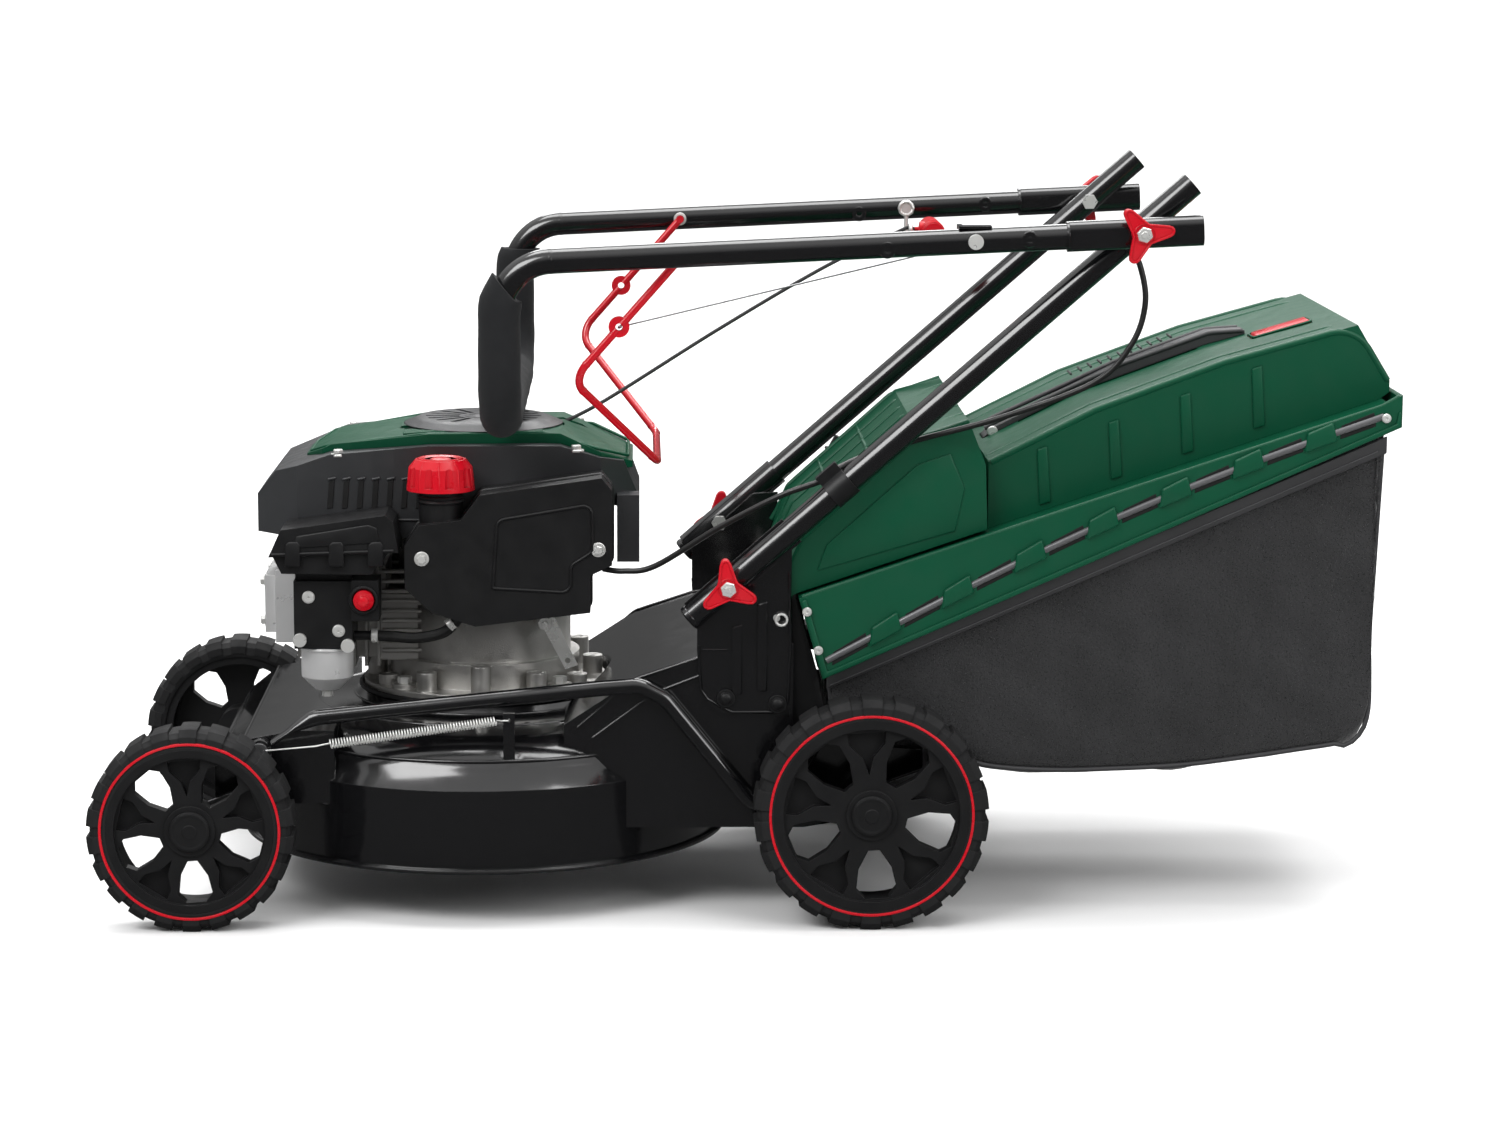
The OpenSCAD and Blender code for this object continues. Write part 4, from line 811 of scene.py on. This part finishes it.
def mesh_cloth():
    """Black woven mesh that lets a little light through."""
    c = bpy.context.scene.mower_colours
    m = surface("Bag mesh", c.cloth, 0.78, grain=420, depth=0.0006, mottle=0.5, wear=0.1,
                sheen=0.25)
    nodes, links = m.node_tree.nodes, m.node_tree.links
    shader, out = nodes["Principled BSDF"], nodes["Material Output"]
    coords = nodes.new("ShaderNodeTexCoord")
    holes = nodes.new("ShaderNodeTexVoronoi")
    holes.inputs["Scale"].default_value = 520
    links.new(coords.outputs["Object"], holes.inputs["Vector"])
    span = nodes.new("ShaderNodeMapRange")
    span.inputs["From Min"].default_value = 0.15
    span.inputs["From Max"].default_value = 0.4
    span.inputs["To Min"].default_value = 0.62
    span.inputs["To Max"].default_value = 0.96
    links.new(holes.outputs["Distance"], span.inputs["Value"])
    clear = nodes.new("ShaderNodeBsdfTransparent")
    mix = nodes.new("ShaderNodeMixShader")
    links.new(span.outputs["Result"], mix.inputs[0])
    links.new(clear.outputs[0], mix.inputs[1])
    links.new(shader.outputs[0], mix.inputs[2])
    links.new(mix.outputs[0], out.inputs["Surface"])
    return m


def rod_z(x):
    """Height of the frame rod inside the lid's wall."""
    return rim_z(x) + 15 + 15 * math.sin(math.pi * (x - RIM_FRONT) / 500)


def lid_shelf(x):
    """Height of the shelf along the lid's side, the same slope as the CAD's."""
    return 281 + (x - 517) * 0.335


def build_lid():
    """Frame rods seen between raised tabs, beads, creases and screws on the bag's lid."""
    for side, word in SIDES:
        line = [at(x, side * 183.2, rod_z(x)) for x in range(548, 1036, 8)]
        tube("lid_rod_" + word, line, 0.0031, "grey", "grass_bag", 14)
        for k in range(8):
            x = 553 + 62.5 * k
            # Each window is a near-black sheet: painted shade in the opening round the rod
            pocket = [(x, rod_z(x) - 7), (x + 1, rod_z(x) + 5), (x + 29, rod_z(x + 30) + 6),
                      (x + 31, rod_z(x + 30) - 6)]
            plate("lid_window_%s_%d" % (word, k), pocket, side * 182, side * 184.5, "seat",
                  "grass_bag", 0.0004, 1)
            a, b = x + 33, x + 60
            tab = [(a - 1, rod_z(a) - 8), (a + 1, rod_z(a) + 9), (b - 4, rod_z(b) + 9),
                   (b, rod_z(b) - 7)]
            if b < 1036:
                plate("lid_tab_%s_%d" % (word, k), tab, side * 183, side * 187.6, "green",
                      "grass_bag", 0.0018, 4)
        lip = [(526, 281), (546, 213), (1043, 433), (1043, 446), (1041, 446), (1039, 436),
               (549, 219), (530, 283)]
        plate("lid_rim_" + word, lip, side * 183, side * 186.4, "green", "grass_bag", 0.0012, 3)
        edge = [at(x, side * 181, lid_shelf(x) - 0.6) for x in (527, 600, 687)]
        edge += [at(1027, side * 181, 450.5), at(1042, side * 181, 459)]
        tube("lid_bead_" + word, rounded(edge, 0.03, 5), 0.0026, "green", "grass_bag", 12)
        ridge = [(692, 398), (782, 443.5), (895, 485.5), (1008, 517), (1037, 470)]
        for offset, r in ((146.5, 0.003), (112, 0.0022)):
            line = [(x, side * offset, z - 0.4) for x, z in ridge]
            bead("lid_ridge_%s_%d" % (word, offset), line, 0.03, 6, r, "green", "grass_bag", 12)
        for k in range(4):
            a = 735 + 62 * k
            top, low = 421 + 0.38 * (a - 735), 360 + 0.36 * (a - 735)
            flute = [(a, low), (a - 3, top - 12), (a + 6, top - 9), (a + 10, low + 3)]
            plate("lid_flute_%s_%d" % (word, k), flute, side * 147, side * 150.2, "green",
                  "grass_bag", 0.0014, 3)
        for i, (x, z) in enumerate(((531, 272), (541, 238), (1030, 441))):
            lathe("lid_screw_%s_%d" % (word, i), [(0, 1.1), (1.1, 1.1), (1.3, 1.9), (3.4, 1.6),
                  (4.1, 0.6), (4.1, -1)], at(x, side * 186, z), (0, side, 0), "zinc",
                  "grass_bag", 24)
    for k in range(11):
        x = 776 + 9 * k
        z = 459.5 + 0.373 * (x - 776)
        tube("handle_rib_%d" % k, [at(x, -13, z), at(x, 13, z)], 0.0011, "strap",
             "grass_bag", 8)
    for side, word in SIDES:
        line = [(698, 412), (708, 418), (820, 470), (900, 499), (930, 501)]
        path = [(x, side * 15.4, z - 1.6) for x, z in line]
        bead("handle_edge_" + word, path, 0.03, 5, 0.0021, "strap", "grass_bag", 12)
        lathe("handle_pin_" + word, [(0, 2.4), (4, 2.2), (5, 1), (5, -2)],
              at(705, side * 16, 408), (0, side, 0), "zinc", "grass_bag", 24)
    frame_line = [(933, -58.5, 497.5), (933, -28, 497.5), (985, -28, 512.5), (985, -58.5, 512.5),
                  (933, -58.5, 497.5)]
    flag = [(934, 495), (936, 499.5), (983, 513.5), (985.5, 509.5)]
    plate("indicator_face", flag, -56.8, -29.2, "red", "fill_indicator", 0.0009, 3)
    bead("indicator_frame", frame_line, 0.004, 4, 0.0012, "green", "grass_bag", 8)


def build_flap():
    """Stiffening ribs, hinge springs and end beads on the rear flap."""
    top = [(512, 300), (517.5, 309.5), (528, 333), (624, 419.5), (671, 436)]
    for i, y in enumerate((-165, -112, -56, 0, 56, 112, 165)):
        bead("flap_rib_%d" % i, [(x, y, z - 0.6) for x, z in top], 0.012, 5,
             0.0028 if abs(y) > 160 else 0.002, "green", "discharge_flap", 12)
    for i, (x, z) in enumerate(((556, 358), (592, 390.5), (648, 428))):
        tube("flap_cross_%d" % i, [at(x, -160, z - 0.5), at(x, 160, z - 0.5)], 0.0018, "green",
             "discharge_flap", 10)
    for side, word in SIDES:
        panel = [(540, 305), (548, 328), (626, 398), (655, 408), (668, 378), (660, 340)]
        plate("flap_panel_" + word, panel, side * 167, side * 169.4, "green", "discharge_flap",
              0.0012, 3)
        path = [at(500, side * 128, 240), at(503, side * 128, 256)]
        path += coil(505, side * 128, 265, 8.3, side * 0.32, 72)
        path += [at(515, side * 151, 276), at(522, side * 151, 300)]
        tube("flap_spring_" + word, path, 0.0011, "zinc", "chassis", 8)


# ---- Engine ----


def bolt(name, x, y, z, axis, r, flange):
    """A hexagon flange bolt's head on the chassis, its height along axis."""
    lathe(name + "_flange", [(0, 1.4), (flange - 0.6, 1.2), (flange, 0.6), (flange, -1)],
          at(x, y, z), axis, "zinc", "chassis", 32)
    lathe(name, [(0, 4.9), (r * 0.5, 5.0), (r * 0.86, 5.0), (r, 4.3), (r, 0.2)], at(x, y, z),
          axis, "zinc", "chassis", 6)


def panel_z(x):
    """Height of the top panel: two front slopes, a flat stretch and a rear slope."""
    for start, end, low, high in ((88, 112, 389.5, 402), (112, 200, 402, 413), (200, 316, 413, 413)):
        if x < end:
            return low + (high - low) * (x - start) / (end - start)
    return 413 - 25 * (x - 316) / 65


def build_engine():
    """Screws, seams, clamps and grooves on the engine's covers."""
    up, left = (0, 0, 1), (0, -1, 0)
    for k in range(34):
        a = math.tau * k / 34
        c, s = math.cos(a), math.sin(a)
        if 0.33 < a < 0.72:
            continue
        slat = [at(SPINDLE + r * c, r * s, z) for r, z in ((63.5, 416.2), (69, 413.8))]
        tube("cover_slat_%d" % k, slat, 0.0011, "shroud", "chassis", 6)
    lathe("cover_hub", [(0, 1.2), (9, 1.2), (11, 0.2), (13, 0.1), (13.5, 0.8), (17, 0.8), (18, -1)],
          at(SPINDLE, 0, 419.6), up, "shroud", "chassis", 48)
    for k in range(5):
        y = -62 + 6 * k
        groove = [(176, y, 411.2), (202, y - 2, 413.2), (300, y - 2, 413.2)]
        bead("panel_groove_%d" % k, groove, 0.01, 4, 0.001, "green", "chassis", 8)
    rim = [(92, -30), (107, -58), (191, -74), (300, -66), (350, -80), (376, -48), (376, 58),
           (343, 80), (192, 80), (107, 58), (92, 30)]
    ring = [(x, y, panel_z(x) + 0.2) for x, y in rim + rim[:1]]
    bead("panel_bead", ring, 0.006, 4, 0.0014, "green", "chassis", 10)
    for i, (x, y, z) in enumerate(((120, -84, 394), (330, -84, 398), (120, 110, 394),
                                   (330, 110, 398))):
        bolt("shroud_bolt_%d" % i, x, y, z + 1.2, up, 4.6, 7)
    for i in range(7):
        x = 110 + 13 * i
        # Each louvre slot is a near-black sheet: painted shade inside the slot
        slot = [(x, 348), (x + 2, 372), (x + 7, 374), (x + 5, 349)]
        plate("shroud_louvre_%d" % i, slot, -90.9, -89.6, "seat", "chassis", 0.0003, 1)
        tube("shroud_brow_%d" % i, [at(x + 1, -90.4, 374.2), at(x + 8, -90.4, 375.6)], 0.0013, "shroud",
             "chassis", 8)
    tube("shroud_seam", [at(87, -90.3, 338), at(350, -90.3, 338)], 0.0012, "shroud", "chassis", 8)
    seam = [(204, 264), (181, 286), (181, 323), (193, 341), (230, 346), (247, 368), (353, 383),
            (362, 372), (362, 306), (343, 297), (343, 264), (242, 252), (204, 264)]
    bead("tank_seam", [(x, -120, z) for x, z in seam], 0.008, 5, 0.0019, "black", "chassis", 10)
    inner = [(258, 286), (262, 346), (345, 360), (345, 318), (326, 306), (326, 282), (258, 286)]
    bead("tank_panel", [(x, -145.2, z) for x, z in inner], 0.008, 5, 0.0014, "black", "chassis",
         10)
    for i, (x, z) in enumerate(((196, 312), (350, 320))):
        bolt("tank_bolt_%d" % i, x, -145, z, left, 4.2, 6.5)
    lathe("tank_neck_thread", [(19.2, 0), (20.4, 2), (19.2, 4), (20.4, 6), (19.2, 8), (19, 8),
                               (19, 0)], at(*CAP, 358), up, "black", "chassis", 40, bore=True)
    lathe("cap_face", [(0, 0.8), (7, 0.9), (9, 0), (14, 0), (16, 1.1), (19, 1.1), (20.5, -0.6)],
          at(*CAP, 397), up, "red", "fuel_cap", 48)
    for k in range(10):
        a = math.tau * (k + 0.5) / 10
        c, s = math.cos(a), math.sin(a)
        rib = [at(CAP[0] + r * c, CAP[1] + r * s, z)
               for r, z in ((29, 371.5), (27.6, 389), (22, 396))]
        tube("cap_rib_%d" % k, rib, 0.0012, "red", "fuel_cap", 8)
    filter_rim = [(66, 315), (172, 318.5)]
    tube("filter_seam", [at(x, -150.1, z + 1.4) for x, z in filter_rim], 0.0016, "black", "chassis", 8)
    for i, x in enumerate((84, 122, 156)):
        clip = [(x - 7, 306), (x - 6, 325), (x - 3, 328), (x + 5, 328), (x + 7, 325), (x + 7, 306)]
        plate("filter_clip_%d" % i, clip, -152, -147, "black", "chassis", 0.0012, 3)
    panel = [(84, 322), (88, 333), (150, 343), (158, 340), (160, 327)]
    plate("filter_panel", panel, -151.3, -149, "black", "chassis", 0.001, 3)
    for i, (x, z) in enumerate(((96, 276), (122, 246))):
        lathe("carb_screw_%d" % i, [(0, 0.4), (1, 0.4), (1.2, 1.6), (4.6, 1.4), (5.6, 0.4),
              (5.6, -1)], at(x, -132.4, z), left, "zinc", "chassis", 24)
    lathe("primer_collar", [(9.6, -1), (9.6, 2.5), (10.8, 3.4), (12.6, 3), (13.2, 0.5), (13.2, -1)],
          at(PRIMER_X, -140, PRIMER_Z), left, "black", "chassis", 40, bore=True)
    lathe("primer_dome", [(0, 2.4), (2.4, 2.2), (4.4, 1.2), (5.2, -0.6)], at(PRIMER_X, -149, PRIMER_Z), left,
          "red", "primer_bulb", 32)
    bolt("bowl_bolt", *BOWL, 190, (0, 0, -1), 5, 8)
    lathe("bowl_bead", [(23, 0), (24.6, 0.8), (24.6, 3), (23, 3.8)], at(*BOWL, 226), up,
          "silver", "chassis", 48, bore=True)
    clamps = [((220, -116.5, 249), (0.75, 0, 0.66)), ((152, -110, 238), (1, 0, 0))]
    for i, (spot, axis) in enumerate(clamps):
        lathe("hose_clamp_%d" % i, [(5.2, -3), (6.3, -2.6), (6.3, 2.6), (5.2, 3)], at(*spot), axis,
              "zinc", "chassis", 28, bore=True)
    for i, (y, z) in enumerate(((-42, 240), (34, 240), (-42, 276), (34, 276))):
        bolt("rocker_bolt_%d" % i, 50.5, y, z, (-1, 0, 0), 4.4, 6.5)
    for i in range(12):
        a = math.tau * i / 12
        top = 200 + 8 * math.sin(3 * a)
        lathe("boss_hole_%d" % i, [(0, -5), (3.3, -5), (3.5, 0.3), (6.8, 0.5), (8.6, -0.8)],
              at(SPINDLE + 98 * math.cos(a), 98 * math.sin(a), top), up, "alloy", "chassis", 24)
    lathe("base_ring", [(111.5, 0.1), (111.5, 3.4), (113.6, 4), (114.6, 3), (114.6, 0.1)],
          at(SPINDLE, 0, 175), up, "black", "chassis", 96, bore=True)
    for k in range(9):
        z = 214 + 9 * k
        rim = [(155, -53.5, z), (212, -53.5, z), (214, 53.5, z), (155, 53.5, z)]
        bead("block_fin_%d" % k, rim, 0.012, 4, 0.0022, "alloy", "chassis", 8)
    lathe("governor_nut", [(0, 6.2), (3, 6.2), (3, 4.4), (6.2, 4.4), (6.2, 0)],
          at(302, -94.5, 246), left, "zinc", "governor_lever", 6)
    for i in range(8):
        x = 106.8 + 11 * i
        tube("muffler_slat_%d" % i, [at(x, 128.2, 228), at(x, 128.2, 286)], 0.0013, "iron",
             "chassis", 8)


# ---- Deck ----


TUBE_SLOPE = math.radians(41.3)


def build_deck():
    """Pressed beads round the housing, bracket ribs, tube end rims and hinge pin clips."""
    for name, r, z, h in (("shoulder", 199, 142.6, 1.8), ("crown", 150.5, 164.2, 1.5),
                          ("seat", 118.5, 167.8, 1.2)):
        arc = []
        for k in range(111):
            a = math.radians(35 + 290 * k / 110)
            arc.append(at(SPINDLE + r * math.cos(a), r * math.sin(a), z))
        tube("deck_bead_" + name, arc, h / 1000, "enamel", "chassis", 10)
    lathe("deck_lip", [(214.6, 0), (219.4, 0.2), (220, 1.4), (219.6, 3.2), (215.4, 4.8),
                       (214.6, 4)], at(SPINDLE, 0, 47), (0, 0, 1), "enamel", "chassis", 128, bore=True)
    nose = [at(15.4, y, 137.4) for y in (-166, 166)]
    tube("nose_bead", nose, 0.0016, "enamel", "chassis", 10)
    tube("nose_crest", [at(41, -166, 157.2), at(41, 166, 157.2)], 0.0015, "enamel", "chassis", 10)
    for side, word in SIDES:
        for i, (x, low, high) in enumerate(((466, 197, 257), (488, 200, 277))):
            rib = [(x, low), (x, high), (x + 9, high + 3), (x + 9, low)]
            plate("bracket_rib_%s_%d" % (word, i), rib, side * 174.6, side * 177.4, "enamel",
                  "chassis", 0.0012, 3)
        tube("bracket_groove_" + word, [at(441, side * 175.4, 237), at(462, side * 175.4, 237)],
             0.0012, "enamel", "chassis", 8)
        fold = [(437, 241), (439, 202), (445, 193), (466, 181.5), (504, 181.5), (515, 190),
                (517, 240), (516, 306)]
        bead("bracket_edge_" + word, [(x, side * 175.3, z) for x, z in fold], 0.006, 4, 0.0014,
             "enamel", "chassis", 10)
        crest = [(332, 167), (382, 210), (436, 228), (519, 241)]
        bead("housing_edge_" + word, [(x, side * 171, z) for x, z in crest], 0.02, 5, 0.0019,
             "enamel", "chassis", 10)
        crease = [(345, 158), (399, 198), (440, 214)]
        bead("housing_crease_" + word, [(x, side * 172.2, z) for x, z in crease], 0.02, 5, 0.0016,
             "enamel", "chassis", 8)
        d = Vector((math.cos(TUBE_SLOPE), 0, math.sin(TUBE_SLOPE)))
        low = at(430, side * 186, 267)
        lathe("tube_rim_" + word, [(9.2, -1.6), (10.4, -2.4), (11.6, -1.2), (11.7, 2.5), (11.1, 3)],
              low, d, "enamel", "chassis", 40, bore=True)
        lathe("tube_plug_" + word, [(0, 1), (6, 1), (9.3, 0.2), (9.3, 3)], low, d,
              "black", "chassis", 32)
        clip = coil(509, side * 177.6, 264, 5, side * 0.1, 36)
        tube("hinge_clip_" + word, clip, 0.0011, "zinc", "chassis", 8)
        for i, (x, z) in enumerate(((461, 194), (506, 189))):
            lathe("bolt_dome_%s_%d" % (word, i), [(0, 2.2), (2.6, 1.9), (4.6, 0.9), (5.3, -0.6)],
                  at(x, side * 179.4, z), (0, side, 0), "black", "chassis", 28)
        seal = [(518.5, 150), (518.5, 298), (522, 283), (542, 212), (548, 178), (550, 150)]
        plate("mouth_seal_" + word, seal, side * 153, side * 166, "black", "chassis", 0.001, 2)
    for i, y in enumerate((-110, 0, 110)):
        bolt("housing_bolt_%d" % i, 470, y, 234.2, (0, 0, 1), 4.6, 7)
    lathe("blade_washer", [(0, -0.6), (15, -0.6), (17, 0.4), (17, 2)], at(SPINDLE, 0, 51.5), (0, 0, -1),
          "steel", "crank", 40)


def build_tubes():
    """Pressed dimples round the handle's holes, end plugs and the starter guide's coil."""
    for side, word in SIDES:
        for x, z in ((595.3, 588.4), (715.7, 597.6)):
            for face in (-1, 1):
                lathe("dimple_%s_%d_%s" % (word, x, "out" if face == side else "in"),
                      [(1.8, -2.6), (2.4, 0), (4.4, 0.6), (6.6, 0.1), (7.6, -2.2)],
                      at(x, side * TUBE_Y + face * 10.7, z), (0, face, 0), "enamel",
                      "upper_handle", 24, bore=True)
        plug = at(863.4, side * TUBE_Y, 604.8)
        lathe("handle_plug_" + word, [(0, -0.5), (4.5, -0.6), (6.4, -1.4), (6.6, -4)], plug,
              (-FOLD[0], 0, -FOLD[1]), "black", "upper_handle", 24)
        eye = at(424.6, side * 197.6, 583.35)
        lathe("bail_bush_" + word, [(3.8, -2.4), (6, -2), (6, 2), (3.8, 2.4)], eye, (0, side, 0),
              "zinc", "bail", 28, bore=True)
    guide = coil(GUIDE[0], 196.5, GUIDE[1], 6.5, 0.15, 30, 10)
    tube("guide_coil", guide, 0.0016, "zinc", "upper_handle", 8)
    for i, y in enumerate((110, 122, 134, 146, 158, 170)):
        lathe("pull_ring_%d" % i, [(9.1, -1.6), (10.2, -1), (10.2, 1), (9.1, 1.6)],
              at(659.85, y, 577.9), (0, 1, 0), "red", "starter_grip", 32, bore=True)
    tube("lever_slot", [at(523, 188.6, 246), at(540, 188.6, 279)], 0.0014, "steel",
         "height_lever", 8)
    for k in range(6):
        c = at(557 + 3.2 * k, 207.5, 330.5 + 5.7 * k)
        lathe("lever_ring_%d" % k, [(9, -1.4), (10, -0.8), (10, 0.8), (9, 1.4)], c,
              (26, 0, 46), "black", "height_lever", 28, bore=True)


class MOWER_OT_stage(bpy.types.Operator):
    """Floor, lights and camera"""

    bl_idname = "mower.stage"
    bl_label = "Stage"

    def execute(self, context):
        build_stage()
        return {"FINISHED"}


class MOWER_OT_frame(bpy.types.Operator):
    """Finishes of the frame's own pieces"""

    bl_idname = "mower.frame"
    bl_label = "Frame finishes"

    def execute(self, context):
        dress_frame()
        return {"FINISHED"}


class MOWER_OT_wheels(bpy.types.Operator):
    """Rings, hub caps and tyre beads"""

    bl_idname = "mower.wheels"
    bl_label = "Wheels"

    def execute(self, context):
        build_wheels()
        return {"FINISHED"}


class MOWER_OT_foam(bpy.types.Operator):
    """Foam over the grip bar"""

    bl_idname = "mower.foam"
    bl_label = "Grip foam"

    def execute(self, context):
        build_foam()
        return {"FINISHED"}


class MOWER_OT_knobs(bpy.types.Operator):
    """Three-armed clamp knobs"""

    bl_idname = "mower.knobs"
    bl_label = "Knobs"

    def execute(self, context):
        build_knobs()
        return {"FINISHED"}


class MOWER_OT_tubes(bpy.types.Operator):
    """Dimples, plugs and rings on the tubes and grips"""

    bl_idname = "mower.tubes"
    bl_label = "Tube details"

    def execute(self, context):
        build_tubes()
        return {"FINISHED"}


class MOWER_OT_cables(bpy.types.Operator):
    """Brake cable, starter rope, bail wire and height spring"""

    bl_idname = "mower.cables"
    bl_label = "Cables"

    def execute(self, context):
        build_cables()
        return {"FINISHED"}


class MOWER_OT_link(bpy.types.Operator):
    """Rod that ties the two axles"""

    bl_idname = "mower.link"
    bl_label = "Height rod"

    def execute(self, context):
        build_link()
        return {"FINISHED"}


class MOWER_OT_bag(bpy.types.Operator):
    """Cloth, hem and piping of the grass bag"""

    bl_idname = "mower.bag"
    bl_label = "Bag cloth"

    def execute(self, context):
        build_bag()
        return {"FINISHED"}


class MOWER_OT_lid(bpy.types.Operator):
    """Rods, tabs, beads and screws of the lid"""

    bl_idname = "mower.lid"
    bl_label = "Bag lid"

    def execute(self, context):
        build_lid()
        return {"FINISHED"}


class MOWER_OT_flap(bpy.types.Operator):
    """Ribs and springs of the flap"""

    bl_idname = "mower.flap"
    bl_label = "Rear flap"

    def execute(self, context):
        build_flap()
        return {"FINISHED"}


class MOWER_OT_engine(bpy.types.Operator):
    """Details of the engine and its covers"""

    bl_idname = "mower.engine"
    bl_label = "Engine"

    def execute(self, context):
        build_engine()
        return {"FINISHED"}


class MOWER_OT_deck(bpy.types.Operator):
    """Beads, ribs and clips of the deck"""

    bl_idname = "mower.deck"
    bl_label = "Deck"

    def execute(self, context):
        build_deck()
        return {"FINISHED"}


class MOWER_PT_panel(bpy.types.Panel):
    """Every step, in the order that main() runs them"""

    bl_label = "Push Lawn Mower"
    bl_space_type = "VIEW_3D"
    bl_region_type = "UI"
    bl_category = "Mower"

    def draw(self, context):
        for step in STEPS:
            self.layout.operator(step.bl_idname)
        for group in (context.scene.mower_colours, context.scene.mower_sizes):
            for name in group.bl_rna.properties.keys():
                if name not in ("rna_type", "name"):
                    self.layout.prop(group, name)


STEPS = [MOWER_OT_stage, MOWER_OT_frame, MOWER_OT_cables, MOWER_OT_wheels, MOWER_OT_deck,
         MOWER_OT_engine, MOWER_OT_tubes, MOWER_OT_knobs, MOWER_OT_link, MOWER_OT_foam,
         MOWER_OT_flap, MOWER_OT_lid, MOWER_OT_bag]
CLASSES = [MowerColours, MowerSizes, *STEPS, MOWER_PT_panel]


def register():
    for c in CLASSES:
        bpy.utils.register_class(c)
    bpy.types.Scene.mower_colours = PointerProperty(type=MowerColours)
    bpy.types.Scene.mower_sizes = PointerProperty(type=MowerSizes)


def unregister():
    del bpy.types.Scene.mower_colours
    del bpy.types.Scene.mower_sizes
    for c in reversed(CLASSES):
        bpy.utils.unregister_class(c)


def main():
    register()
    for step in STEPS:
        family, name = step.bl_idname.split(".")
        getattr(getattr(bpy.ops, family), name)()


if __name__ == "__main__":
    main()
